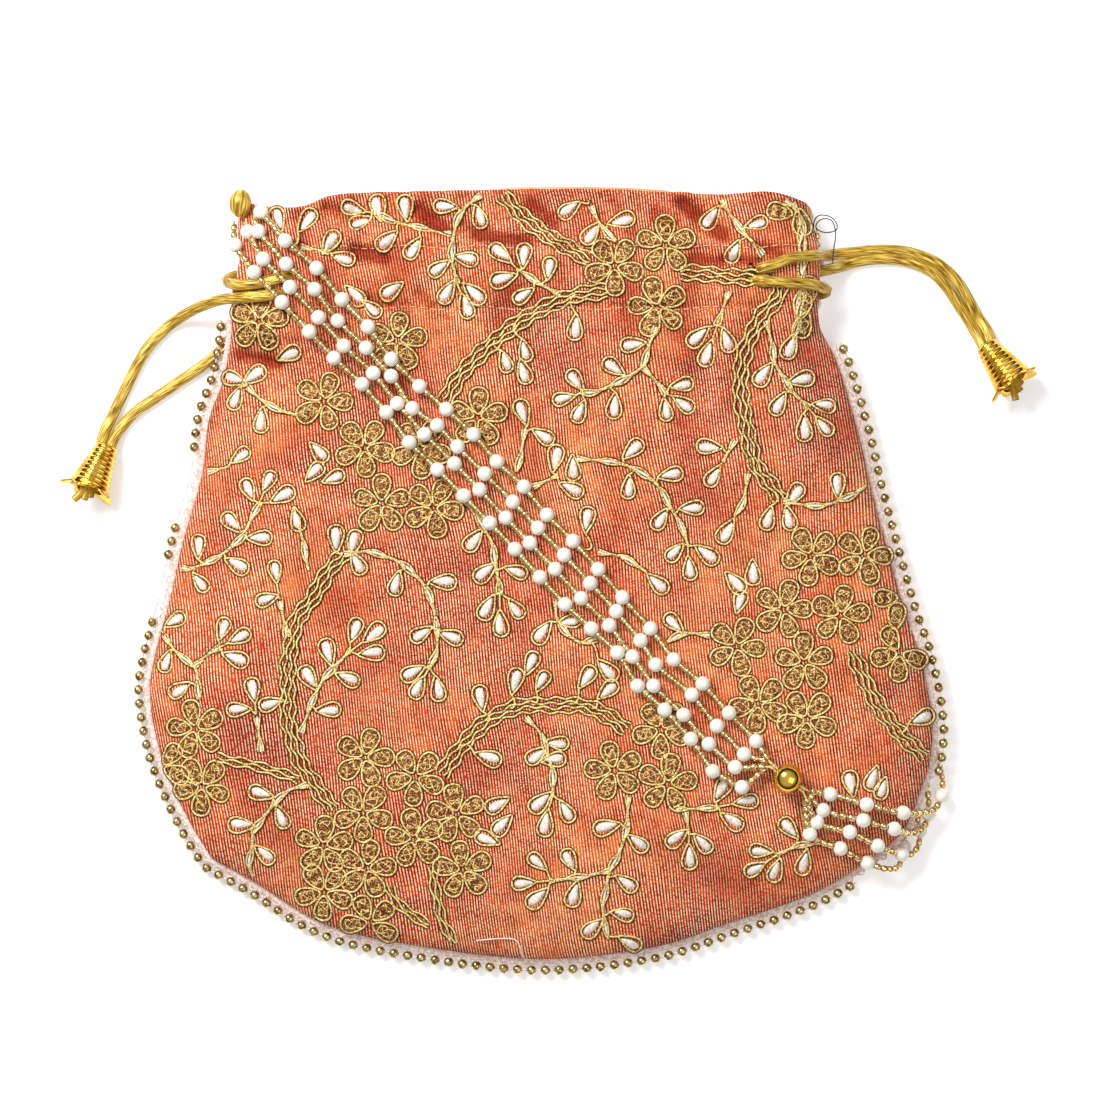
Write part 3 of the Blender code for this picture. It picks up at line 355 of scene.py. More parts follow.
# The folds that were placed one by one: start, end, half width in pixels, and rise
CREASES = tuple(Crease(*row) for row in (
    ((300, 204), (310, 262), 8, -0.0016), ((322, 206), (356, 216), 6, -0.0024),
    ((350, 250), (392, 262), 7, -0.0034), ((366, 296), (396, 308), 6, -0.0018),
    ((412, 206), (450, 234), 8, -0.0036), ((458, 224), (492, 231), 6, -0.0020),
    ((470, 236), (536, 243), 6, -0.0034), ((526, 200), (560, 228), 7, -0.0026),
    ((610, 194), (636, 240), 9, -0.0016), ((676, 198), (728, 241), 7, -0.0042),
    ((650, 212), (682, 224), 8, -0.0020), ((716, 261), (764, 263), 4.5, -0.0026),
    ((752, 246), (786, 260), 5, -0.0024), ((686, 258), (724, 264), 6, -0.0016),
    ((416, 290), (436, 310), 6, -0.0018), ((464, 283), (490, 301), 6, -0.0016),
    ((434, 309), (456, 325), 2.5, -0.0014), ((508, 293), (562, 308), 7, -0.0014),
    ((318, 262), (345, 330), 12, -0.0010), ((232, 352), (284, 366), 6, -0.0036),
    ((400, 250), (408, 330), 12, -0.0012), ((520, 250), (500, 330), 14, -0.0014),
    ((620, 250), (640, 340), 14, -0.0012), ((700, 250), (676, 350), 14, -0.0018),
    ((700, 330), (680, 440), 12, -0.0014), ((760, 300), (730, 420), 14, -0.0016),
    ((800, 320), (850, 440), 16, -0.0014), ((815, 335), (842, 420), 9, 0.0012),
    ((240, 330), (300, 333), 9, 0.0014), ((240, 372), (310, 420), 14, 0.0014),
    ((420, 330), (380, 470), 18, -0.0010), ((520, 400), (540, 520), 16, -0.0012),
    ((560, 330), (600, 470), 18, 0.0012), ((300, 540), (360, 640), 22, -0.0010),
    ((270, 820), (330, 900), 20, -0.0010), ((560, 620), (660, 700), 24, 0.0010),
    ((640, 840), (760, 900), 20, -0.0010), ((180, 640), (260, 720), 22, 0.0010),
    ((700, 470), (760, 590), 20, -0.0012), ((850, 660), (900, 700), 16, -0.0010),
    ((500, 690), (640, 700), 16, -0.0008),
))


@dataclass(frozen=True)
class Folds:
    """Sizes of the waves that every part of the front has beside its placed creases.

    Attributes:
        wander: how far the waves drift sideways with the height.
        stitched_depth: how deep a row of stitches draws the cloth in.
        stitched_width: half the width of that furrow.
    """

    wander: float = 0.006
    frill_rise: float = 0.00055
    frill_pitch: float = 0.0125
    neck_rise: float = 0.0003
    neck_pitch: float = 0.0085
    stitched_depth: float = 0.0009
    stitched_width: float = 0.0011
    pucker: float = 0.00035

    def height(self, x: Array, y: Array) -> Array:
        """Rise of the front's gathers.

        The waves are a sine across the neck whose phase wanders with the height, strongest in the
        frill, less a Gaussian furrow at each row of stitches, plus a shallow puckering of the body,
        the product of a sine across and a sine up.

        Args:
            x: places across the bag.
            y: places up the bag.

        Returns:
            One height a place.
        """
        top, foot = row_height(CASING_TOP_ROW), row_height(CASING_FOOT_ROW)
        frill = ease(top - 0.004, row_height(FRILL_ROW), y)
        neck = ease(row_height(SHOULDER_ROW), foot, y)
        wander = self.wander * np.sin(70 * y + 40 * x)
        rise = self.frill_rise * frill * np.sin(2 * math.pi * (x + wander) / self.frill_pitch)
        fine = np.sin(2 * math.pi * (x - 0.5 * wander) / self.neck_pitch + 60 * y)
        rise = rise + self.neck_rise * neck * fine
        for row in (CASING_TOP_ROW + 2, CASING_FOOT_ROW):
            furrow = np.exp(-(((y - row_height(row)) / self.stitched_width) ** 2))
            rise = rise - self.stitched_depth * furrow
        body = 1 - neck
        ripple = np.sin(95 * x + 2 * np.sin(60 * y)) * np.sin(80 * y + 1.3)
        return rise + self.pucker * body * ripple


class ClothShape:
    """Heights of the bag's cloth layers over plan points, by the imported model's own rules.

    The swell between seam and body is a quarter circle, the root of 1 less the square of 1 less the
    share of the run, and the panels part by the fullness times that swell.
    """

    # The first is the crease depth at which the painted crease shade is full.
    HOLLOW_DEPTH, CREASE_SHARE, FLAT_RUN = 0.0024, 0.75, 0.3
    NECK_LIFT_FROM, NECK_LIFT_TO = 0.4, 0.85
    SETTLED_SHARE, SETTLED_RUN = 0.5, 0.75

    def __init__(self, points: Array) -> None:
        """Work out every layer.

        Args:
            points: plan points in any arrangement, the last axis x and y.
        """
        x, y = points[..., 0], points[..., 1]
        inward = distance_to(SEAM, points)
        cord_room = DRAWSTRING_DIAMETER + 2 * DRAWSTRING_CLEARANCE
        foot, top = row_height(CASING_FOOT_ROW), row_height(CASING_TOP_ROW)
        edge = (top - foot) / 4
        casing = ease(foot - 2 * edge, foot, y) * (1 - ease(top, top + edge, y))
        neck = ease(row_height(SHOULDER_ROW), foot, y)
        frill = ease(top, row_height(FRILL_ROW), y)
        from_strap = distance_to(STRAP_UNDER, points)
        strap = STRAP_ROOM * (1 - ease(STRAP_HALF_WIDTH, STRAP_HALF_WIDTH + STRAP_EASE, from_strap))
        seam = SEAM_LIFT * (1 - np.minimum(inward / SEAM_LIFT_RUN, 1.0)) ** 2
        lift_from, lift_to = self.NECK_LIFT_FROM * BODY_EDGE_RUN, self.NECK_LIFT_TO * BODY_EDGE_RUN
        left_neck = neck * (1 - ease(lift_from, lift_to, inward)) * (x < 0)
        self.back_under = np.maximum(strap, seam + NECK_LIFT * left_neck)
        self.back_top = self.back_under + PANEL_THICKNESS
        fullness = BODY_FULLNESS + (CASING_FULLNESS - BODY_FULLNESS) * neck
        fullness = fullness + (FRILL_FULLNESS - CASING_FULLNESS) * frill
        run = BODY_EDGE_RUN + (NECK_EDGE_RUN - BODY_EDGE_RUN) * neck
        swell = np.sqrt(1 - (1 - np.minimum(inward / run, 1.0)) ** 2)
        side_gap = cord_room * casing * (1 - swell)
        settling = ease(0.0, self.SETTLED_RUN * BODY_EDGE_RUN, inward)
        settled = self.SETTLED_SHARE * self.back_under * settling
        opening = CLEARANCE + fullness * swell + side_gap - settled
        self.middle = self.back_top + opening / 2
        smooth_top = self.back_top + opening + PANEL_THICKNESS
        room = np.maximum(cord_room * casing, LINING_CLEARANCE)
        least = LINING_THICKNESS + CLEARANCE
        self.lining_under = np.minimum(self.back_top + room, self.middle - least)
        self.lining_top = np.maximum(self.back_top + opening - room, self.middle + least)
        creased = sum(crease.height(x, y) for crease in CREASES)
        # How deep in its creases each point lies, from 0 to 1: it only paints shade into the silk's
        # creases.
        self.crease_shade = np.clip(-creased / self.HOLLOW_DEPTH, 0.0, 1.0)
        rise = Folds().height(x, y) + self.CREASE_SHARE * creased
        self.front_top = smooth_top + rise * ease(0.0, self.FLAT_RUN * BODY_EDGE_RUN, inward)


def cloth_grid(columns: int, rows: int, crowding: float = 0.3) -> tuple[Array, Array]:
    """Plan of a cloth grid: a Coons patch between the bag's four edges.

    A point is the blend of the left and right edge by u, plus that of the bottom and the mouth by
    v, less the blend of the four corners by both.

    Args:
        columns: cells across.
        rows: cells from the bottom to the mouth.
        crowding: how much the columns close up at the sides.

    Returns:
        Points, and their shares across and up.
    """
    t = np.linspace(0.0, 1.0, columns + 1)
    across = t - crowding * np.sin(2 * math.pi * t) / (2 * math.pi)
    up = np.linspace(0.0, 1.0, rows + 1)
    up = 0.5 * up + 0.5 * up**1.15
    left, right = at_shares(LEFT_SIDE, up)[:, None], at_shares(RIGHT_SIDE, up)[:, None]
    bottom, mouth = at_shares(BOTTOM, across)[None], at_shares(MOUTH, across)[None]
    u, v = across[None, :, None], up[:, None, None]
    corners = (
        (1 - u) * (1 - v) * BOTTOM[0] + u * (1 - v) * BOTTOM[-1]
        + (1 - u) * v * MOUTH[0] + u * v * MOUTH[-1]
    )
    grid = (1 - u) * left + u * right + (1 - v) * bottom + v * mouth - corners
    return grid, np.stack(np.broadcast_arrays(u[..., 0], v[..., 0]), -1)


def grid_faces(rows: int, columns: int, wrap: bool = False) -> Array:
    """Quads of a grid of points, as rows of four indices.

    Args:
        rows: points up.
        columns: points across.
        wrap: whether the last column joins the first.

    Returns:
        An array of quads.
    """
    index = np.arange(rows * columns).reshape(rows, columns)
    if wrap:
        index = np.hstack([index, index[:, :1]])
    corner_sets = index[:-1, :-1], index[:-1, 1:], index[1:, 1:], index[1:, :-1]
    return np.stack(corner_sets, -1).reshape(-1, 4)


def mesh_object(
    name: str, points: Array, faces: Array, finish: Material, uv: Array | None = None
) -> Piece:
    """Make a smooth mesh object that rides on the bag.

    Args:
        name: the piece's name.
        points: vertices, one a row.
        faces: quads, one a row.
        finish: its material.
        uv: two numbers for each vertex, if the finish needs them.

    Returns:
        The object.
    """
    mesh = bpy.data.meshes.new(name)
    faces = np.asarray(faces)
    mesh.vertices.add(len(points))
    mesh.vertices.foreach_set("co", np.asarray(points, np.float32).ravel())
    mesh.loops.add(faces.size)
    mesh.loops.foreach_set("vertex_index", faces.astype(np.int32).ravel())
    mesh.polygons.add(len(faces))
    starts = np.arange(0, faces.size, faces.shape[1], dtype=np.int32)
    mesh.polygons.foreach_set("loop_start", starts)
    if uv is not None:
        layer = mesh.uv_layers.new(name="along")
        layer.data.foreach_set("uv", np.asarray(uv, np.float32)[faces.ravel()].ravel())
    mesh.update(calc_edges=True)
    mesh.validate()
    mesh.shade_smooth()
    mesh.materials.append(finish)
    made = bpy.data.objects.new(name, mesh)
    bpy.context.scene.collection.objects.link(made)
    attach(made, ROOT)
    LOG.info("%s: %d points, %d faces", name, len(mesh.vertices), len(mesh.polygons))
    return made


class Batch:
    """Many small pieces that become one mesh."""

    def __init__(self) -> None:
        """Start empty."""
        self.points: list[Array] = []
        self.faces: list[Array] = []
        self.slots: list[Array] = []
        self.count = 0

    def add(self, points: Array, faces: Array, slot: int = 0) -> None:
        """Add a piece.

        Args:
            points: its vertices, one a row.
            faces: its quads, one a row.
            slot: which of the mesh's materials it takes.
        """
        self.points.append(points)
        self.faces.append(np.asarray(faces) + self.count)
        self.slots.append(np.full(len(faces), slot))
        self.count += len(points)

    def build(self, name: str, *finishes: Material) -> Piece:
        """Make the mesh object.

        Args:
            name: the piece's name.
            finishes: its materials, in the order of their slots.

        Returns:
            The object.
        """
        made = mesh_object(name, np.vstack(self.points), np.vstack(self.faces), finishes[0])
        for finish in finishes[1:]:
            made.data.materials.append(finish)
        slots = np.concatenate(self.slots).astype(np.int32)
        made.data.polygons.foreach_set("material_index", slots)
        return made


def ball_profile(diameter: float, stations: int, bore: float) -> Array:
    """Profile of a bead: a circle's arc between the rims of its bore, the bore given as an angle."""
    bend = np.linspace(bore, math.pi - bore, stations)
    return np.c_[np.sin(bend), -np.cos(bend)] * diameter / 2


class Finish:
    """A material that is built from nodes."""

    def __init__(self, name: str, roughness: float, metallic: float = 0.0, **shader: float) -> None:
        """Start the material.

        Args:
            name: its name.
            roughness: the shader's roughness.
            metallic: the shader's metallic value.
            shader: other plain values of the shader, by socket name with _ for a space.
        """
        self.material = bpy.data.materials.new(name)
        self.material.use_nodes = True
        self.nodes, self.links = self.material.node_tree.nodes, self.material.node_tree.links
        self.shader = self.nodes["Principled BSDF"]
        self.shader.inputs["Roughness"].default_value = roughness
        self.shader.inputs["Metallic"].default_value = metallic
        for key, value in shader.items():
            self.shader.inputs[key.replace("_", " ")].default_value = value

    def node(self, kind: str, _out: int = 0, **inputs: object) -> Socket:
        """Add a node, set or link its inputs, and give one of its outputs.

        Args:
            kind: the node's type, without the words that all of them start with.
            _out: which output to give.
            inputs: a value or socket by the input's name, with _ for a space, or by i and its
                place. A name that only an option of the node has sets that option.

        Returns:
            The output.
        """
        made = self.nodes.new(f"ShaderNode{kind}")
        for key, value in inputs.items():
            name, linked = key.replace("_", " "), isinstance(value, Socket)
            if hasattr(made, key) and not linked and name not in made.inputs:
                setattr(made, key, value)
                continue
            place = int(key[1:]) if key[0] == "i" and key[1:].isdigit() else name
            if linked:
                self.links.new(value, made.inputs[place])
            else:
                made.inputs[place].default_value = value
        return made.outputs[_out]

    def math(self, operation: str, a: Socket | float, b: Socket | float = 0.0) -> Socket:
        """Add a Math node."""
        return self.node("Math", operation=operation, i0=a, i1=b)

    def ramp(self, value: Socket, *stops: tuple[float, Colour]) -> Socket:
        """Add a colour ramp.

        Args:
            value: what runs along it, from 0 to 1.
            stops: each stop's place and colour.

        Returns:
            The ramp's colour.
        """
        made = self.nodes.new("ShaderNodeValToRGB")
        ramp = made.color_ramp
        while len(ramp.elements) < len(stops):
            ramp.elements.new(0.5)
        for element, (place, colour) in zip(ramp.elements, stops):
            element.position = place
            element.color = (*colour, 1.0)
        self.links.new(value, made.inputs["Fac"])
        return made.outputs["Color"]

    def mix(self, share: Socket | float, a: Socket | Colour, b: Socket | Colour) -> Socket:
        """Mix two colours.

        Args:
            share: how much of the second one shows.
            a: the first colour.
            b: the second colour.

        Returns:
            The mixed colour.
        """
        made = self.nodes.new("ShaderNodeMix")
        made.data_type = "RGBA"
        for place, value in ((0, share), (6, a), (7, b)):
            if isinstance(value, Socket):
                self.links.new(value, made.inputs[place])
            else:
                made.inputs[place].default_value = (*value, 1.0) if place else value
        return made.outputs[2]

    def noise(self, scale: float, detail: float = 2.0, vector: Socket | None = None) -> Socket:
        """Add noise over the object's own coordinates, scale in waves a metre."""
        vector = self.position() if vector is None else vector
        return self.node("TexNoise", Vector=vector, Scale=scale, Detail=detail)

    def position(self) -> Socket:
        """The object's own coordinates."""
        return self.node("TexCoord", _out=3)

    def colour(self, value: Socket) -> None:
        """Set the base colour."""
        self.links.new(value, self.shader.inputs["Base Color"])

    def bump(self, height: Socket, distance: float, strength: float = 1.0) -> None:
        """Add a bump of the given depth in metres."""
        made = self.node("Bump", Height=height, Distance=distance, Strength=strength)
        self.links.new(made, self.shader.inputs["Normal"])


def linear(red: int, green: int, blue: int) -> Colour:
    """Turn a screen colour from 0 to 255 into a linear one."""
    value = np.array((red, green, blue)) / 255.0
    return tuple(np.where(value <= 0.04045, value / 12.92, ((value + 0.055) / 1.055) ** 2.4).tolist())


class Finishes:
    """The materials of the bag."""

    def __init__(self) -> None:
        """Build them all."""
        self.silk = self._silk()
        self.satin = self._satin()
        self.lace = self._noisy("pink_lace_thread", (216, 170, 150), (255, 250, 244), 1300, 0.8)
        self.brass = self._noisy("antique_brass", (112, 88, 44), (226, 204, 150), 900, 0.26, 1.0)
        self.gold = self._noisy("bright_gold", (206, 152, 40), (255, 212, 96), 300, 0.12, 1.0)
        self.seed = self._noisy("seed_gold", (196, 144, 66), (255, 236, 184), 1100, 0.24, 1.0)
        self.white = self._noisy("white_bead", (234, 227, 212), (250, 246, 238), 350, 0.18)
        self.cord = self._cord()
        self.zari = self._zari()
        self.leaf = self._noisy("leaf_satin_stitch", (214, 194, 172), (255, 253, 248), 1500, 0.5)
        self.petal = self._petal()
        # Dark brown thread laid flat under every gold cord and wider than it: partly the couching thread,
        # partly painted shadow round the cord.
        self.shade = self._noisy("couching_thread_and_painted_shadow", (50, 18, 2), (104, 50, 12), 1800, 0.8)
        self.dark_thread = self._noisy("dark_thread", (24, 28, 42), (48, 52, 68), 2000, 0.7)

    @staticmethod
    def _noisy(
        name: str, low: Pixel, high: Pixel, scale: float, roughness: float, metal: float = 0.0
    ) -> Material:
        """Two close colours in fine noise: slightly bumped, or metal that darkens in patches.

        Args:
            name: the material's name.
            low: the darker screen colour.
            high: the paler screen colour.
            scale: the noise's waves a metre.
            roughness: the shader's roughness.
            metal: the shader's metallic value.

        Returns:
            The material.
        """
        finish = Finish(name, roughness, metal)
        noise = finish.noise(scale)
        dark, pale = (0.32, 0.62) if metal else (0.3, 0.7)
        finish.colour(finish.ramp(noise, (dark, linear(*low)), (pale, linear(*high))))
        if not metal:
            finish.bump(noise, 0.00008)
        return finish.material

    @staticmethod
    def _silk() -> Material:
        """Ribbed tissue silk: cream threads over coral ribs, deeper red between them.

        A rib is half of 1 plus the cosine of its count, which grows with x, a lean in y and a slow
        sway. Each rib's thread is broken by noise of its own; its cream is partly the thread's own and
        partly painted highlight, brighter in patches of painted sheen. The deeper red between the ribs
        is painted shade in their troughs, painted shade darkens the creases and hides the threads'
        highlight there, and the large red patches are partly uneven colour, partly painted shade of the
        body's puckers.

        Returns:
            The material.
        """
        finish = Finish("coral_tissue_silk", 0.6, Specular_IOR_Level=0.12)
        split = finish.node("SeparateXYZ", Vector=finish.position())
        x, y = split, split.node.outputs[1]
        lean = finish.math("MULTIPLY", y, 0.14)
        sway = finish.math("MULTIPLY", finish.noise(22, 1), 0.006)
        across = finish.math("ADD", finish.math("ADD", x, lean), sway)
        count = finish.math("DIVIDE", across, RIB_PITCH)
        wave = finish.math("COSINE", finish.math("MULTIPLY", count, 2 * math.pi))
        rib = finish.math("MULTIPLY_ADD", wave, 0.5)
        rib.node.inputs[2].default_value = 0.5
        number = finish.math("ROUND", count)
        spot = finish.node(
            "CombineXYZ", X=finish.math("MULTIPLY", number, 7.3), Y=finish.math("MULTIPLY", y, 1900.0)
        )
        broken = finish.noise(1.0, 1, spot)
        # Large noise patches of red, coral and orange: partly uneven colour, partly painted shade of the
        # body's puckers.
        blotch = finish.noise(38, 3)
        patch = finish.noise(260, 2)
        red, coral, orange = linear(166, 36, 2), linear(212, 72, 16), linear(238, 112, 42)
        base = finish.ramp(blotch, (0.32, red), (0.47, coral), (0.68, orange))
        # Deep red between the ribs, in patches of noise: painted shade in the rib troughs.
        darker = finish.ramp(patch, (0.38, (0.0, 0.0, 0.0)), (0.78, (1, 1, 1)))
        deep = finish.mix(darker, linear(124, 16, 0), base)
        body = finish.mix(rib, deep, base)
        # Cream threads on the rib crests, broken into dashes: partly the thread's own cream, partly
        # painted highlight.
        dash = finish.ramp(broken, (0.38, (0.12, 0.12, 0.12)), (0.54, (1, 1, 1)))
        thread = finish.math("MULTIPLY", finish.ramp(rib, (0.52, (0, 0, 0)), (0.88, (1, 1, 1))), dash)
        # Painted sheen: patches where the threads' painted highlight is stronger.
        sheen = finish.ramp(finish.noise(70, 2), (0.3, (0.5, 0.5, 0.5)), (0.6, (1, 1, 1)))
        # Painted crease shade: the crease depth from the UV map darkens the silk to deep red and hides the
        # threads' highlight there.
        crease_shade = finish.node("SeparateXYZ", Vector=finish.node("TexCoord", _out=2))
        shown = finish.math("SUBTRACT", 1.0, finish.math("MULTIPLY", crease_shade, 0.85))
        body = finish.mix(finish.math("MULTIPLY", crease_shade, 0.8), body, linear(136, 20, 0))
        # The threads' painted highlight, after painted sheen and painted crease shade, lays cream over the
        # body.
        lit = finish.math("MULTIPLY", finish.math("MULTIPLY", thread, sheen), shown)
        finish.colour(finish.mix(lit, body, linear(255, 232, 188)))
        finish.bump(rib, 0.00018, 0.7)
        return finish.material

    @staticmethod
    def _satin() -> Material:
        """Peach satin with a fine weave.

        Returns:
            The material.
        """
        finish = Finish("peach_satin", 0.38, Sheen_Weight=0.3)
        noise = finish.noise(60, 2)
        finish.colour(finish.ramp(noise, (0.3, linear(236, 160, 110)), (0.7, linear(250, 196, 150))))
        finish.bump(finish.noise(1500, 1), 0.00004)
        return finish.material

    @staticmethod
    def _cord() -> Material:
        """Olive-gold satin cord: fine fibres that run round it at a slant.

        Returns:
            The material.
        """
        finish = Finish("gold_satin_cord", 0.34, 0.25)
        uv = finish.node("SeparateXYZ", Vector=finish.node("TexCoord", _out=2))
        round_it, along = uv, uv.node.outputs[1]
        slant = finish.math("ADD", round_it, finish.math("MULTIPLY", along, 9.0))
        vector = finish.node(
            "CombineXYZ", X=finish.math("MULTIPLY", slant, 30.0), Y=finish.math("MULTIPLY", along, 210.0)
        )
        fibre = finish.noise(1.0, 2, vector)
        dark, olive, bright = linear(104, 70, 4), linear(190, 146, 32), linear(246, 216, 104)
        finish.colour(finish.ramp(fibre, (0.34, dark), (0.49, olive), (0.66, bright)))
        finish.bump(fibre, 0.00020)
        return finish.material

    @staticmethod
    def _zari() -> Material:
        """Couched metallic thread: bright gold strands wound round a dark core, the palest flecks painted
        glints.

        Returns:
            The material.
        """
        finish = Finish("zari_thread", 0.36, 0.12)
        noise = finish.noise(2100, 2)
        core, gold, bright = linear(120, 70, 20), linear(226, 176, 80), linear(255, 240, 170)
        # The palest stop scatters painted glints over the gold.
        finish.colour(finish.ramp(noise, (0.33, core), (0.45, gold), (0.58, bright)))
        finish.bump(noise, 0.00022)
        return finish.material

    @staticmethod
    def _petal() -> Material:
        """Petal filling: antique gold stipple.

        Returns:
            The material.
        """
        finish = Finish("petal_stipple", 0.45, 0.35)
        noise = finish.noise(2100, 3)
        # Dark, middle brown and pale gold stops of the petal's stipple.
        deep, mid_brown, bright = linear(64, 22, 2), linear(132, 68, 22), linear(220, 164, 84)
        finish.colour(finish.ramp(noise, (0.38, deep), (0.53, mid_brown), (0.67, bright)))
        finish.bump(noise, 0.0003)
        return finish.material


# Sizes of the embroidery
PETALS, PETAL_REACH, PETAL_LENGTH, PETAL_WIDTH = 5, 0.0045, 0.0070, 0.0053
ZARI_RADIUS, STITCH_RADIUS, LEAF_LENGTH, LEAF_WIDTH = 0.00030, 0.00015, 0.0070, 0.0048
STEM_TWIST, STEM_SPREAD, BRANCH_SPREAD, BRANCH_CORDS = 0.0090, 0.00046, 0.00124, 4
STATION, STITCH_STEP = 0.0008, 0.0026

# Where the embroidery lies, in pixels; a flower or single petal has its turn in degrees behind them
BRANCHES_PX = (
    (
        (607, 292), (582, 295), (561, 301), (534, 314), (515, 326), (496, 341), (477, 358), (459, 378),
        (446, 401),
    ),
    ((492, 190), (500, 193), (520, 215), (545, 235), (570, 250), (590, 262)),
    (
        (442, 773), (457, 752), (477, 729), (500, 713), (524, 705), (553, 705), (582, 705), (607, 715),
        (626, 729),
    ),
    (
        (779, 286), (776, 300), (761, 317), (748, 341), (741, 366), (740, 391), (743, 416), (748, 441),
        (755, 466), (770, 486), (780, 500),
    ),
    ((851, 650), (862, 677), (877, 705), (897, 731), (925, 757)),
    (
        (345, 554), (330, 570), (312, 600), (298, 619), (293, 638), (289, 667), (289, 696), (289, 719),
        (295, 742), (302, 763), (312, 778), (325, 797), (335, 808),
    ),
    ((680, 274), (699, 274), (728, 278), (772, 281)),
)
STEMS_PX = (
    ((492, 190), (475, 200), (460, 215), (455, 232), (452, 250), (454, 268), (457, 285)),
    ((452, 235), (444, 234), (427, 230), (407, 226), (389, 220), (372, 213)),
    ((560, 296), (540, 285), (517, 270)),
    ((591, 207), (599, 223), (607, 234), (616, 242)),
    ((656, 328), (647, 351), (643, 366), (630, 376), (610, 387), (591, 393), (580, 393)),
    ((643, 368), (654, 380), (666, 395)),
    ((721, 198), (728, 213), (745, 237), (762, 257)),
    ((728, 293), (716, 327)),
    ((765, 322), (771, 346), (775, 366), (790, 390), (808, 409)),
    ((734, 441), (722, 462)),
    ((747, 474), (742, 503), (734, 516)),
    ((782, 501), (810, 506), (839, 501), (868, 485)),
    ((533, 487), (558, 476)),
    ((577, 459), (600, 461), (621, 464), (652, 480), (669, 505), (682, 529), (688, 547)),
    ((598, 552), (625, 558), (646, 572)),
    ((709, 635), (684, 633), (667, 642)),
    ((462, 497), (479, 520), (491, 541), (496, 564), (500, 594)),
    ((525, 430), (521, 455), (517, 472)),
    ((556, 598), (558, 621), (579, 642), (596, 638)),
    ((345, 554), (372, 552), (399, 562), (418, 577), (431, 598), (437, 625), (437, 650), (429, 669)),
    ((302, 732), (308, 715), (316, 694), (331, 671), (352, 650)),
    ((175, 567), (193, 568), (221, 555), (240, 540), (250, 523), (261, 502)),
    ((200, 473), (229, 467)),
    ((248, 387), (263, 401), (283, 411), (298, 416)),
    ((164, 636), (176, 652), (195, 667), (198, 684), (200, 699)),
    ((195, 666), (208, 655), (222, 646)),
    ((258, 717), (262, 751)),
    ((298, 519), (304, 542), (309, 570)),
    ((281, 601), (288, 637)),
    ((308, 784), (287, 791), (272, 807), (256, 828), (252, 845), (249, 864), (254, 883)),
    ((526, 717), (540, 732), (547, 750), (553, 776), (553, 796)),
    ((628, 796), (626, 830), (618, 853), (610, 870), (605, 891), (603, 912), (608, 939)),
    ((610, 870), (580, 876), (549, 880)),
    ((685, 811), (689, 834)),
    ((676, 808), (695, 808), (719, 806)),
    ((834, 844), (804, 844), (776, 854)),
    ((302, 248), (330, 254)),
    ((784, 202), (797, 212), (804, 236), (803, 262), (802, 292), (799, 318), (792, 340)),
    ((792, 204), (801, 222), (798, 250), (800, 280), (795, 306), (799, 334)),
)
TRUNKS_PX = (
    ((218, 757), (246, 763), (275, 770), (299, 779)), ((434, 866), (436, 891), (442, 918), (454, 944)),
    ((389, 886), (402, 907), (429, 925)),
)
FLOWERS_PX = (
    (614, 267, 56), (665, 246, 18), (657, 308, 32), (324, 402, 71), (398, 342, 12), (260, 322, 10),
    (478, 418, 15), (365, 448, 59), (382, 504, 17), (434, 508, 64), (421, 449, 57), (810, 556, 46),
    (863, 555, 70), (782, 609, 1), (839, 615, 8), (736, 646, 67), (803, 662, 20), (758, 703, 47),
    (806, 718, 50), (899, 652, 50), (196, 729, 31), (202, 786, 50), (160, 768, 50), (365, 757, 1),
    (416, 776, 48), (364, 812, 54), (415, 838, 28), (324, 845, 14), (367, 868, 6), (324, 892, 50),
    (370, 923, 41), (457, 813, 27), (463, 869, 26), (614, 770, 31), (661, 729, 51), (667, 783, 9),
)
PETALS_PX = (
    (885, 598, 180), (896, 616, 80), (779, 213, 170), (801, 223, 280), (805, 205, 200), (802, 326, 250),
    (801, 307, 80), (808, 291, 90), (739, 924, 20), (761, 913, 200), (763, 921, 20), (786, 908, 30),
    (806, 897, 210),
)
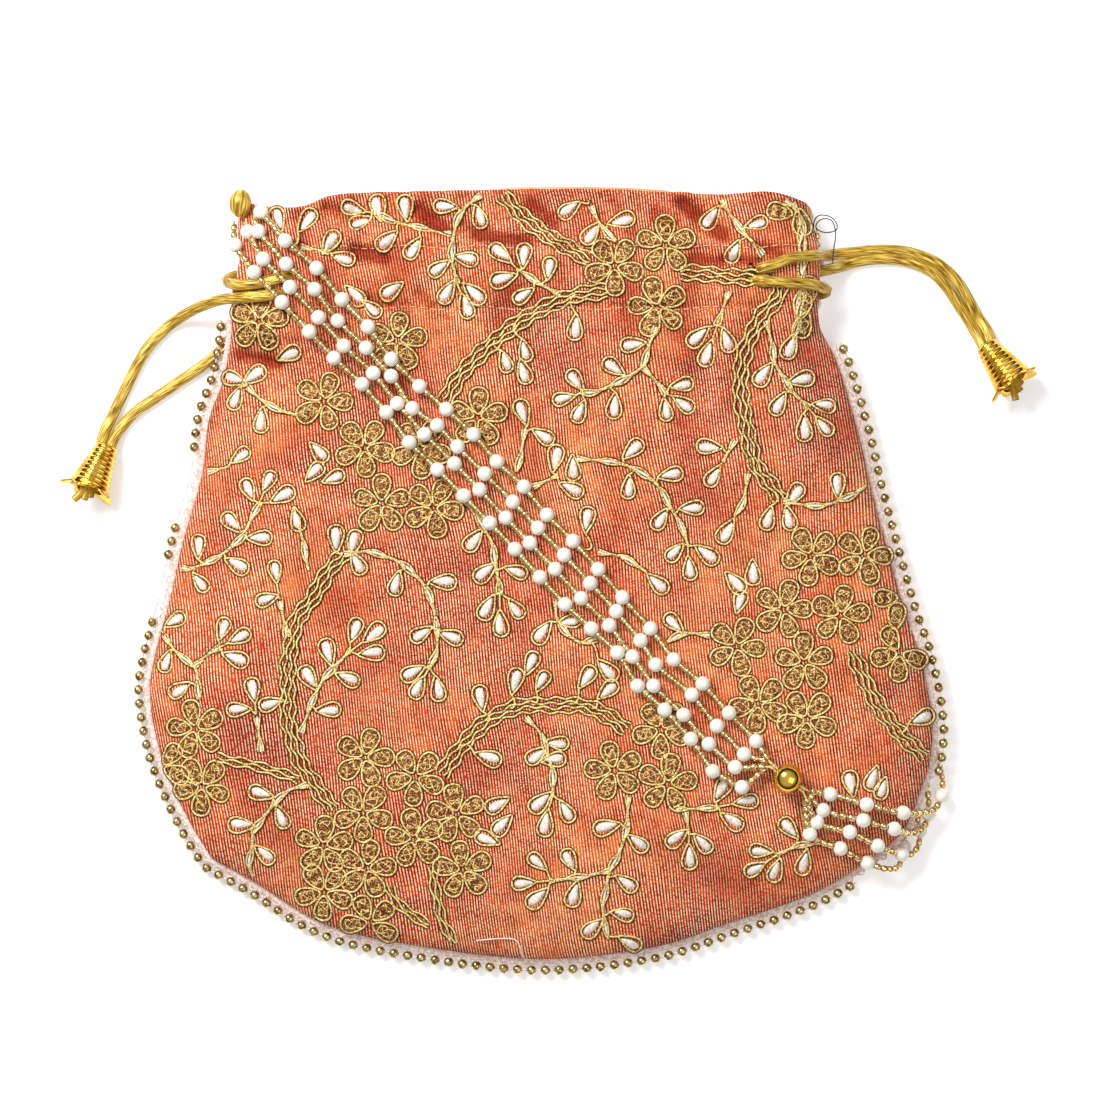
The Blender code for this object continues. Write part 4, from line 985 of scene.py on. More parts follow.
LEAVES_PX = (
    (279, 221), (307, 222), (331, 244), (344, 259), (354, 209), (379, 209), (361, 222), (406, 209),
    (388, 241), (414, 249), (446, 207), (479, 217), (440, 269), (466, 260), (448, 293), (466, 307),
    (474, 294), (501, 255), (524, 257), (504, 280), (524, 296), (549, 270), (575, 328), (525, 351),
    (505, 362), (524, 372), (570, 210), (603, 198), (621, 221), (591, 234), (633, 345), (614, 368),
    (576, 381), (564, 399), (580, 412), (614, 406), (681, 385), (683, 404), (665, 410), (711, 218),
    (755, 225), (733, 253), (698, 337), (726, 341), (707, 354), (355, 296), (393, 291), (372, 309),
    (289, 355), (234, 379), (254, 376), (236, 398), (262, 420), (211, 437), (240, 456), (319, 452),
    (315, 473), (334, 478), (523, 413), (543, 436), (555, 459), (573, 468), (571, 489), (587, 520),
    (632, 450), (628, 487), (670, 475), (660, 519), (691, 508), (675, 552), (706, 554), (689, 568),
    (657, 583), (674, 623), (734, 582), (752, 572), (739, 602), (789, 347), (763, 375), (800, 380),
    (778, 404), (823, 406), (823, 426), (803, 428), (709, 447), (713, 476), (726, 531), (793, 495),
    (837, 486), (767, 518), (788, 518), (249, 490), (269, 482), (283, 496), (232, 523), (260, 538),
    (198, 547), (237, 565), (200, 582), (298, 519), (276, 572), (268, 599), (337, 539), (355, 543),
    (358, 563), (397, 583), (443, 582), (422, 633), (451, 636), (414, 672), (419, 687), (438, 688),
    (474, 540), (486, 572), (516, 571), (488, 607), (516, 608), (501, 623), (543, 632), (569, 621),
    (531, 663), (515, 681), (542, 681), (586, 677), (607, 669), (607, 690), (481, 698), (174, 621),
    (166, 661), (180, 689), (223, 629), (240, 637), (236, 658), (254, 690), (240, 709), (272, 703),
    (310, 678), (329, 709), (329, 652), (348, 678), (355, 630), (374, 633), (372, 653), (262, 793),
    (282, 816), (242, 825), (264, 854), (237, 866), (488, 757), (557, 742), (537, 754), (553, 759),
    (541, 801), (566, 810), (546, 822), (498, 803), (503, 824), (488, 838), (607, 826), (637, 842),
    (626, 882), (570, 859), (538, 861), (524, 882), (538, 897), (574, 893), (622, 914), (593, 928),
    (630, 943), (677, 837), (689, 856), (702, 842), (721, 789), (745, 801), (731, 820), (789, 828),
    (761, 850), (755, 868), (776, 870), (804, 862), (846, 871), (850, 783), (872, 777), (881, 787),
    (921, 718),
)


def within_outline(points: Array) -> Array:
    """Whether plan points lie inside the cloth's outline, by the even-odd rule.

    A point is inside when the outline crosses the level line to its right an odd number of times.

    Args:
        points: plan points in any arrangement, the last axis x and y.

    Returns:
        One truth value a point.
    """
    outline = np.vstack([SEAM, MOUTH[::-1]])
    start, end = outline, np.roll(outline, -1, axis=0)
    found = []
    for batch in np.array_split(points.reshape(-1, 2), max(1, points.size // 8000)):
        x, y = batch[:, :1], batch[:, 1:]
        spans = (start[:, 1] > y) != (end[:, 1] > y)
        rise = np.where(end[:, 1] == start[:, 1], 1.0, end[:, 1] - start[:, 1])
        crossing = start[:, 0] + (y - start[:, 1]) * (end[:, 0] - start[:, 0]) / rise
        found.append((spans & (x < crossing)).sum(1) % 2 == 1)
    return np.concatenate(found).reshape(points.shape[:-1])


class HeightMap:
    """Heights of the front over the plan, kept on a square grid and read back between its points."""

    SPACING, MARGIN = 0.0006, 0.012
    SAMPLE_SHARES, SAMPLES_ROUND = (0.0, 0.3, 0.55, 0.75, 0.9), 12

    def __init__(self) -> None:
        """Work out the grid."""
        self.low = SEAM.min(0) - self.MARGIN
        high = np.maximum(SEAM.max(0), MOUTH.max(0)) + self.MARGIN
        x, y = (np.arange(a, b, self.SPACING) for a, b in zip(self.low, high))
        grid = np.stack(np.meshgrid(x, y), -1)
        self.front = ClothShape(grid).front_top
        self.lying = np.where(within_outline(grid), self.front, 0.0)
        LOG.info("height map of %d points", grid.shape[0] * grid.shape[1])

    def read(self, points: Array, values: Array | None = None) -> Array:
        """Bilinear reading: the four grid values round a point, weighted by its share of the cell.

        Args:
            points: plan points, the last axis x and y.
            values: the grid's values, or the front's heights.

        Returns:
            One value a point.
        """
        values = self.front if values is None else values
        place = (np.asarray(points)[..., :2] - self.low) / self.SPACING
        limit = np.array(values.shape)[::-1] - 2
        cell = np.clip(np.floor(place).astype(int), 0, limit)
        u, v = np.moveaxis(np.clip(place - cell, 0.0, 1.0), -1, 0)
        column, row = cell[..., 0], cell[..., 1]
        low = (1 - u) * values[row, column] + u * values[row, column + 1]
        high = (1 - u) * values[row + 1, column] + u * values[row + 1, column + 1]
        return (1 - v) * low + v * high

    def rest(self, points: Array, radius: float) -> Array:
        """Height of a ball's middle where it rests: the highest of surface height plus the ball's own
        depth, the root of radius squared less distance squared, over a disc of samples.

        Args:
            points: plan points, one a row.
            radius: the ball's radius.

        Returns:
            One height a point.
        """
        share = np.repeat(self.SAMPLE_SHARES, self.SAMPLES_ROUND)
        turn = 2 * math.pi * np.arange(self.SAMPLES_ROUND) / self.SAMPLES_ROUND
        turn = np.tile(turn, len(self.SAMPLE_SHARES))
        offset = radius * share[:, None] * np.c_[np.cos(turn), np.sin(turn)]
        around = np.asarray(points)[:, None, :2] + offset
        depth = radius * np.sqrt(1 - share**2)
        return (self.read(around, self.lying) + depth).max(1) + CLEARANCE


def ring_tubes(
    lines: Array, radius: float | Array, sides: int = 5, closed: bool = False, flat: float = 1.0
) -> tuple[Array, Array]:
    """Points and quads of many tubes at once.

    A point is the line's point plus side times the cosine and up times the sine of its angle, both
    times the radius.

    Args:
        lines: polylines, as an array of lines by stations by three.
        radius: the radius, or one for each station.
        sides: points round the section.
        closed: whether each line joins its own start.
        flat: the section's height as a share of its width.

    Returns:
        Points and quads.
    """
    count, stations, _ = lines.shape
    tangent = np.roll(lines, -1, axis=1) - np.roll(lines, 1, axis=1)
    if not closed:
        tangent[:, 0], tangent[:, -1] = lines[:, 1] - lines[:, 0], lines[:, -1] - lines[:, -2]
    tangent /= np.maximum(np.linalg.norm(tangent, axis=-1, keepdims=True), TINY)
    side = np.cross(tangent, (0.0, 0.0, 1.0))
    side /= np.maximum(np.linalg.norm(side, axis=-1, keepdims=True), TINY)
    up = np.cross(side, tangent)
    turn = 2 * math.pi * np.arange(sides) / sides
    radius = np.broadcast_to(radius, (stations,))[None, :, None, None]
    ring = np.cos(turn)[:, None] * side[:, :, None] + flat * np.sin(turn)[:, None] * up[:, :, None]
    points = lines[:, :, None] + radius * ring
    rows = np.arange(stations if closed else stations - 1)
    row, column = np.meshgrid(rows, np.arange(sides), indexing="ij")
    after, turned_on = (row + 1) % stations, (column + 1) % sides
    corner_sets = (row, column), (row, turned_on), (after, turned_on), (after, column)
    quads = np.stack([r * sides + c for r, c in corner_sets], -1).reshape(-1, 4)
    tiled = quads[None] + (np.arange(count) * stations * sides)[:, None, None]
    return points.reshape(-1, 3), tiled.reshape(-1, 4)


def tube(line: Array, radius: float | Array, sides: int, flat: float) -> tuple[Array, Array, Array]:
    """Points, quads and map of one tube that is drawn in at both ends.

    Args:
        line: the centreline.
        radius: one radius, or one for each of the line's points.
        sides: points round the section.
        flat: height of the section as a share of its width.

    Returns:
        Points, quads, and for each point the share round the section and the distance along.
    """
    radius = np.broadcast_to(radius, len(line)).copy()
    radius[[0, -1]] *= 0.35
    points, quads = ring_tubes(line[None], radius, sides, flat=flat)
    around = np.tile(np.arange(sides) / sides, len(line))
    return points, quads, np.c_[around, np.repeat(lengths_along(line), sides)]


def strung(centres: Array, axes: Array, profile: Array, around: int = 14) -> tuple[Array, Array]:
    """Points and quads of one turned profile set at many places.

    A point is the place plus the profile's radius times the cosine and sine of the angle round the
    axis, on the side and up vectors, plus the profile's distance along the axis.

    Args:
        centres: places, one a row.
        axes: directions of the profile's axis, one a row.
        profile: radius and distance along the axis, one pair a row.
        around: points round the axis.

    Returns:
        Points and quads.
    """
    axes = axes / np.linalg.norm(axes, axis=1)[:, None]
    side = np.cross(axes, (0.0, 0.0, 1.0))
    side /= np.maximum(np.linalg.norm(side, axis=1), TINY)[:, None]
    up = np.cross(side, axes)
    turn = 2 * math.pi * np.arange(around) / around
    ring = np.cos(turn)[:, None] * side[:, None] + np.sin(turn)[:, None] * up[:, None]
    points = (
        centres[:, None, None]
        + profile[None, :, None, :1] * ring[:, None]
        + profile[None, :, None, 1:] * axes[:, None, None]
    )
    quads = grid_faces(len(profile), around, wrap=True)
    tiled = quads[None] + (np.arange(len(centres)) * len(profile) * around)[:, None, None]
    return points.reshape(-1, 3), tiled.reshape(-1, 4)


def stationed(line: Array, step: float = STATION) -> Array:
    """The polyline's points at even steps."""
    total = lengths_along(line)[-1]
    return at_shares(line, np.linspace(0.0, 1.0, max(4, int(total / step))))


def normals_of(line: Array) -> Array:
    """Unit vectors across a plan polyline: its tangents turned by a right angle.

    Args:
        line: the polyline's plan points, one a row.

    Returns:
        One vector a point.
    """
    tangent = np.gradient(line, axis=0)
    tangent /= np.maximum(np.linalg.norm(tangent, axis=1), TINY)[:, None]
    return np.c_[tangent[:, 1], -tangent[:, 0]]


@dataclass(frozen=True)
class Cloth:
    """The panels and the lining.

    Attributes:
        finishes: the bag's materials.
        lining_room: least depth of the lining under the front's face.
        lining_shares: the lining's size as shares of the outline's, across and up.
        mouth_from: share of the height above which the lining reaches out of the mouth.
        mouth_rise: how far it reaches out, and as much again where it peeks.
        peek_starts_px: columns over which the peek comes in.
    """

    finishes: Finishes
    front_cells: tuple[int, int] = (230, 235)
    back_cells: tuple[int, int] = (120, 120)
    lining_cells: tuple[int, int] = (110, 90)
    front_thickness: float = 0.0005
    back_thickness: float = 0.0006
    lining_room: float = 0.0014
    lining_shares: tuple[float, float] = (0.985, 0.975)
    mouth_from: float = 0.93
    mouth_rise: float = 0.0016
    peek_lift: float = 0.0008
    peek_starts_px: tuple[float, float] = (480.0, 510.0)
    peek_ends_px: tuple[float, float] = (660.0, 700.0)

    def build(self) -> None:
        """Make the front, the back and the lining."""
        self.front_panel()
        self.back_panel()
        self.lining()

    @staticmethod
    def sheet(
        name: str, points: Array, finish: Material, thickness: float,
        slits_px: Pixels = (), crease_shade: Array | None = None,
    ) -> Piece:
        """Turn a grid of points into a cloth with a thickness.

        Args:
            name: the piece's name.
            points: the grid of points of the upper face.
            finish: its material.
            thickness: how thick the cloth is.
            slits_px: openings, as left, top, right and bottom pixels.
            crease_shade: how deep in a crease each point lies, from 0 to 1, for the silk's painted crease
                shade.

        Returns:
            The object.
        """
        rows, columns = points.shape[:2]
        # The crease depth rides in the UV map, where the silk paints its crease shade.
        depth = None if crease_shade is None else np.c_[crease_shade.ravel(), np.zeros(crease_shade.size)]
        quads = grid_faces(rows, columns)
        flat = points.reshape(-1, 3)
        middle = flat[quads].mean(1)
        keep = np.ones(len(quads), bool)
        for left, top, right, bottom in slits_px:
            (x_low, y_high), (x_high, y_low) = metres((left, top)), metres((right, bottom))
            x, y = middle[:, 0], middle[:, 1]
            keep &= ~((x > x_low) & (x < x_high) & (y > y_low) & (y < y_high))
        made = mesh_object(name, flat, quads[keep], finish, depth)
        solidify = made.modifiers.new("thickness", "SOLIDIFY")
        solidify.thickness = thickness
        solidify.offset = -1.0
        return made

    def front_panel(self) -> None:
        """The front: a fine grid at the height of the shape's upper face."""
        grid, _ = cloth_grid(*self.front_cells)
        shape = ClothShape(grid)
        points = np.dstack([grid, shape.front_top])
        silk, thickness = self.finishes.silk, self.front_thickness
        # The crease depth goes along for the silk's painted crease shade.
        made = self.sheet("front_cloth", points, silk, thickness, FRONT_SLITS_PX, shape.crease_shade)
        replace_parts(made, "front_panel")

    def back_panel(self) -> None:
        """The back: a grid at the height of the shape's lower layer."""
        grid, _ = cloth_grid(*self.back_cells)
        points = np.dstack([grid, ClothShape(grid).back_top])
        made = self.sheet("back_cloth", points, self.finishes.silk, self.back_thickness, BACK_SLITS_PX)
        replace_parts(made, "back_panel")

    def lining(self) -> None:
        """The lining: two skins inside the panels, the upper edge peeking out of the mouth.

        The plan is the outline drawn in towards its middle, plus a rise at the mouth that a smooth
        step brings in and another takes away across the peek.
        """
        grid, shares = cloth_grid(*self.lining_cells)
        middle = grid.mean((0, 1))
        drawn_in = middle + (grid - middle) * self.lining_shares
        across = grid[..., 0]
        peek = ease(*[metres((column, 0))[0] for column in self.peek_starts_px], across)
        peek = peek * (1 - ease(*[metres((column, 0))[0] for column in self.peek_ends_px], across))
        top = ease(self.mouth_from, 1.0, shares[..., 1])
        drawn_in[..., 1] += top * (self.mouth_rise + self.mouth_rise * peek)
        shape = ClothShape(drawn_in)
        upper = np.minimum(shape.lining_top, shape.front_top - self.lining_room)
        lower = np.minimum(shape.lining_under, upper - LINING_THICKNESS - CLEARANCE)
        for name, height in (("lining_upper", upper), ("lining_lower", lower)):
            lift = self.peek_lift * top * peek if name == "lining_upper" else 0.0
            points = np.dstack([drawn_in, height + lift])
            made = self.sheet(name, points, self.finishes.satin, LINING_THICKNESS)
            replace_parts(made, "lining")


@dataclass
class Embroidery:
    """Zari branches, stems, leaves and flowers, all laid on the front.

    Attributes:
        finishes: the bag's materials.
        heights: the front's height map.
        draw_seed: where the random draws start.
        line_clear: how far stems and branches stay from the seam and from the mouth.
        jitter: height and length of the unevenness of a couched cord.
        branch_wave: height and length of the waves of a branch's cords.
        leaf_growth: how much a leaf leans the way its stem grows.
        stalk_reach: how near a stem has to be for a leaf to get a stalk.
        filling_shape: middle, half length and half width of a leaf's filling.
        ground_rise: height of a petal's ground at its edge, and what its middle adds.
    """

    finishes: Finishes
    heights: HeightMap
    draw_seed: int = 7
    stitch_clear: tuple[float, float] = (0.0020, 0.0010)
    line_clear: tuple[float, float] = (0.0010, 0.0012)
    leaf_clear: tuple[float, float] = (0.0024, 0.0026)
    petal_clear: tuple[float, float] = (0.0014, 0.0022)
    jitter: tuple[float, float] = (0.00014, 0.0117)
    branch_wave: tuple[float, float] = (0.00034, 0.0052)
    trunk_wave: tuple[float, float] = (0.00030, 0.0060)
    trunk_spread: float = 0.0011
    leaf_points: int = 26
    leaf_sizes: tuple[float, float] = (0.88, 1.08)
    leaf_growth: float = 0.45
    stalk_reach: float = 0.0070
    filling_shape: tuple[float, float, float] = (0.0001, 0.0027, 0.00118)
    filling_rise: float = 0.0007
    filling_shift: float = 0.0004
    petal_points: int = 30
    petal_sizes: tuple[float, float] = (0.9, 1.06)
    squiggle_points: int = 72
    ground_rise: tuple[float, float] = (0.00012, 0.00025)

    def build(self) -> None:
        """Lay the lines on the cloth, then make each kind of embroidery."""
        self.random = np.random.default_rng(self.draw_seed)
        self.stem_lines = [self.on_cloth(points) for points in STEMS_PX]
        self.trunk_lines = [self.on_cloth(points) for points in TRUNKS_PX]
        self.branch_lines = [self.on_cloth(points) for points in BRANCHES_PX]
        self.branches()
        self.stems()
        self.leaves()
        self.flowers()
        self.seams()

    def seams(self) -> None:
        """The two rows of stitches of the casing: short threads at even steps on a slight sine."""
        step = STITCH_STEP
        stitch = np.linspace(0.0, 0.6 * step, 4)
        batch = Batch()
        for row in (CASING_TOP_ROW, CASING_FOOT_ROW):
            x = np.arange(SEAM[:, 0].min(), SEAM[:, 0].max(), step)[:, None] + stitch
            line = np.stack([x, row_height(row) + 0.0004 * np.sin(310 * x)], -1)
            line = line[self.clear_of_edges(line, *self.stitch_clear).all(1)]
            batch.add(*ring_tubes(self.laid(line, 0.0002), STITCH_RADIUS, 5))
        batch.build("casing_stitches", self.finishes.satin)

    @staticmethod
    def clear_of_edges(points: Array, seam: float, mouth: float) -> Array:
        """Whether plan points lie on the front, at least so far from its seam and from its mouth."""
        clear = within_outline(points) & (distance_to(SEAM, points) > seam)
        return clear & (distance_to(MOUTH, points) > mouth)

    def on_cloth(self, points_px: Pixels) -> Array:
        """The even stations of a line of pixels that lie on the front."""
        line = stationed(smooth_line(plan(points_px)))
        return line[self.clear_of_edges(line, *self.line_clear)]

    def laid(self, line: Array, lift: float | Array) -> Array:
        """Put a plan line on the front, at a height above it."""
        return np.concatenate([line, (self.heights.read(line) + lift)[..., None]], -1)

    def cords(self, batch: Batch, lines: Array, lift: float | Array, closed: bool = False) -> None:
        """Add gold cords, each on a wider, flat dark thread: partly the couching thread, partly painted
        shadow round the cord.

        Args:
            batch: where they go.
            lines: plan lines, as an array of lines by stations by two.
            lift: height of the cord's middle above the cloth.
            closed: whether each line joins its own start.
        """
        batch.add(*ring_tubes(self.laid(lines, lift), ZARI_RADIUS, 5, closed))
        # The wider dark flat cord on the cloth is painted shadow round the gold, partly couching thread.
        batch.add(*ring_tubes(self.laid(lines, 0.0), 2.0 * ZARI_RADIUS, 6, closed, 0.35), slot=1)

    def couched(
        self, batch: Batch, line: Array, offset: float, phase: float, amplitude: float, twist: float
    ) -> None:
        """Add one cord that waves about a line: offset plus amplitude times the sine of its phase.

        Args:
            batch: where it goes.
            line: the plan line that it follows.
            offset: how far to the side of it the cord runs.
            phase: where its wave starts, as an angle.
            amplitude: height of the wave.
            twist: length of the wave.
        """
        along = lengths_along(line)
        wave = np.sin(2 * math.pi * along / twist + phase)
        uneven, length = self.jitter
        jitter = uneven * np.sin(2 * math.pi * along / length + 3 * phase)
        moved = line + normals_of(line) * (offset + amplitude * wave + jitter)[:, None]
        lift = ZARI_RADIUS * (1.2 + 0.35 * np.cos(2 * math.pi * along / twist + phase))
        self.cords(batch, moved[None], lift[None])

    def branches(self) -> None:
        """Thick branches and trunks: several cords side by side that wave a little."""
        finishes = self.finishes.zari, self.finishes.shade
        for number, line in enumerate(self.branch_lines, 1):
            batch = Batch()
            for k in range(BRANCH_CORDS):
                offset = (k - (BRANCH_CORDS - 1) / 2) * BRANCH_SPREAD
                self.couched(batch, line, offset, 1.7 * k + number, *self.branch_wave)
            made = batch.build(f"branch_{number}", *finishes)
            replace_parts(made, f"zari_branch_{number}")
        trunks = Batch()
        for line in self.trunk_lines:
            for k in (-1, 0, 1):
                self.couched(trunks, line, self.trunk_spread * k, 2.1 * k, *self.trunk_wave)
        trunks.build("trunks", *finishes)

    def stems(self) -> None:
        """Thin stems: two cords that sway about each other, with white thread between them."""
        batch, pale = Batch(), Batch()
        for line in self.stem_lines:
            for side in (-1, 1):
                offset = 0.75 * side * STEM_SPREAD
                self.couched(batch, line, offset, 1.3 * side, STEM_SPREAD, STEM_TWIST)
            pale.add(*ring_tubes(self.laid(line, 0.00012)[None], 0.00040, 6, flat=0.6))
        batch.build("stems", self.finishes.zari, self.finishes.shade)
        pale.build("stem_stitches", self.finishes.leaf)

    def leaf_directions(self, centres: Array) -> tuple[Array, Array, Array]:
        """Work out how each leaf grows from the nearest point of a stem or branch.

        The axis is the unit vector away from that point plus a share of the stem's own direction.

        Args:
            centres: the leaves' middles on the plan, one a row.

        Returns:
            Each leaf's axis, the stem's direction there and the stem's point.
        """
        lines = (*self.stem_lines, *self.branch_lines)
        path = np.vstack(lines)
        tangents = np.vstack([np.gradient(line, axis=0) for line in lines])
        nearest = np.linalg.norm(centres[:, None] - path[None], axis=-1).argmin(1)
        axis = centres - path[nearest]
        axis /= np.maximum(np.linalg.norm(axis, axis=1), TINY)[:, None]
        growth = tangents[nearest] / np.linalg.norm(tangents[nearest], axis=1)[:, None]
        axis = axis + self.leaf_growth * growth
        axis /= np.linalg.norm(axis, axis=1)[:, None]
        return axis, growth, path[nearest]

    def leaves(self) -> None:
        """Leaves: a teardrop of cord on a stalk, round a dome of white satin stitches.

        The outline is (-L/2 cos t, W/2 sin t (0.74 - 0.46 cos t)) for t round the circle, narrow at
        the stem. The stalk is the quadratic curve (1-s)^2 tip + 2s(1-s) foot + s^2 back.
        """
        centres = plan(LEAVES_PX)
        centres = centres[self.clear_of_edges(centres, *self.leaf_clear)]
        axis, growth, foot = self.leaf_directions(centres)
        across = np.c_[axis[:, 1], -axis[:, 0]]
        t = 2 * math.pi * np.arange(self.leaf_points) / self.leaf_points
        size = self.random.uniform(*self.leaf_sizes, len(centres))[:, None, None]
        along_part = -0.5 * LEAF_LENGTH * np.cos(t)
        across_part = 0.5 * LEAF_WIDTH * np.sin(t) * (0.74 - 0.46 * np.cos(t))
        loop = centres[:, None] + size * (
            along_part[:, None] * axis[:, None] + across_part[:, None] * across[:, None]
        )
        gold = Batch()
        self.cords(gold, loop, ZARI_RADIUS, closed=True)
        tip = centres - 0.5 * LEAF_LENGTH * size[:, 0] * axis
        reach = np.linalg.norm(foot - tip, axis=1)
        near = reach < self.stalk_reach
        back = foot - growth * (0.6 * reach)[:, None]
        s = np.linspace(0.0, 1.0, 9)[None, :, None]
        stalk = (1 - s) ** 2 * tip[:, None] + 2 * s * (1 - s) * foot[:, None] + s**2 * back[:, None]
        self.cords(gold, stalk[near], ZARI_RADIUS)
        gold.build("leaf_outlines", self.finishes.zari, self.finishes.shade)
        self.leaf_fillings(centres, axis, across, size)

    def leaf_fillings(self, centres: Array, axis: Array, across: Array, size: Array) -> None:
        """Fill the leaves: an egg in plan, of height h (1 - r^2)^(1/2) at the share r of its reach.

        Args:
            centres: the leaves' middles on the plan, one a row.
            axis: their directions.
            across: the directions across them.
            size: their shares of the usual size.
        """
        radial = np.linspace(0.0, 1.0, 6)[:, None]
        turn = (2 * math.pi * np.arange(15) / 14)[None]
        u, v = radial * np.cos(turn), radial * np.sin(turn) * (0.9 + 0.35 * np.cos(turn))
        shift = self.random.uniform(-self.filling_shift, self.filling_shift, len(centres))
        shift = shift[:, None, None, None]
        middle, half_length, half_width = self.filling_shape
        filling = (
            centres[:, None, None]
            + size[..., None] * ((middle + half_length * u)[..., None] * axis[:, None, None])
            + size[..., None] * ((half_width * v)[..., None] + shift) * across[:, None, None]
        )
        rise = self.filling_rise * np.sqrt(np.clip(1 - radial**2, 0, 1)) + 0 * turn
        white = Batch()
        quads = grid_faces(*rise.shape)
        for place in filling:
            white.add(self.laid(place, rise + 0.00006).reshape(-1, 3), quads)
        white.build("leaf_fillings", self.finishes.leaf)

    def flowers(self) -> None:
        """Flowers: five petals of doubled cord, each filled with a fine squiggle on a stippled ground.

        A petal's outline is (cos t, sin t (0.86 + 0.34 cos t)). The squiggle is (a sin(3t + p),
        b sin(5t + q)), a closed figure that covers its petal. The ground is the outline's disc,
        raised by 1 less the square of its radius.
        """
        turn = np.radians([k[2] + 360 * n / PETALS for k in FLOWERS_PX for n in range(PETALS)])
        outward = np.c_[np.cos(turn), np.sin(turn)]
        petal_centre = np.repeat(plan(FLOWERS_PX), PETALS, axis=0) + PETAL_REACH * outward
        single = np.radians([k[2] for k in PETALS_PX])
        petal_centre = np.vstack([petal_centre, plan(PETALS_PX)])
        axis = np.vstack([outward, np.c_[np.cos(single), np.sin(single)]])
        clear = self.clear_of_edges(petal_centre, *self.petal_clear)
        petal_centre, axis = petal_centre[clear], axis[clear]
        across = np.c_[-axis[:, 1], axis[:, 0]]
        count = len(axis)
        size = self.random.uniform(*self.petal_sizes, count)[:, None]

        def placed(u: Array, v: Array) -> Array:
            """Put a petal's own points on the plan, for every petal.

            Args:
                u: places along the petal, as shares of half its length.
                v: places across it, as shares of half its width.

            Returns:
                Plan points, as petals by points by two.
            """
            along_part = (size * 0.5 * PETAL_LENGTH * u)[..., None] * axis[:, None]
            across_part = (size * 0.5 * PETAL_WIDTH * v)[..., None] * across[:, None]
            return petal_centre[:, None] + along_part + across_part

        batch = Batch()
        t = (2 * math.pi * np.arange(self.petal_points) / self.petal_points)[None]
        outline = placed(np.cos(t), np.sin(t) * (0.86 + 0.34 * np.cos(t)))
        self.cords(batch, outline, ZARI_RADIUS * 1.2, closed=True)
        phase = self.random.uniform(0, 2 * math.pi, (2, count, 1))
        t = (2 * math.pi * np.arange(self.squiggle_points) / self.squiggle_points)[None]
        squiggle = placed(0.06 + 0.56 * np.sin(3 * t + phase[0]), 0.50 * np.sin(5 * t + phase[1]))
        lift = STITCH_RADIUS * (1.6 + 0.8 * np.sin(12 * t))
        batch.add(*ring_tubes(self.laid(squiggle, lift), STITCH_RADIUS, 4, True))
        made = batch.build("flower_cords", self.finishes.zari, self.finishes.shade)
        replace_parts(made, *[f"zari_flower_{k:02d}" for k in range(1, 27)])
        radial, angle = np.linspace(0.0, 1.0, 5)[:, None], (2 * math.pi * np.arange(17) / 16)[None]
        u, v = (radial * np.cos(angle)).ravel()[None], (radial * np.sin(angle)).ravel()[None]
        ground = placed(0.93 * u, 0.93 * v * (0.86 + 0.34 * u))
        edge, middle = self.ground_rise
        rise = edge + middle * (1 - radial**2) + 0 * angle
        fill = Batch()
        quads = grid_faces(*rise.shape)
        for place in ground:
            fill.add(self.laid(place, rise.ravel()), quads)
        fill.build("petal_grounds", self.finishes.petal)


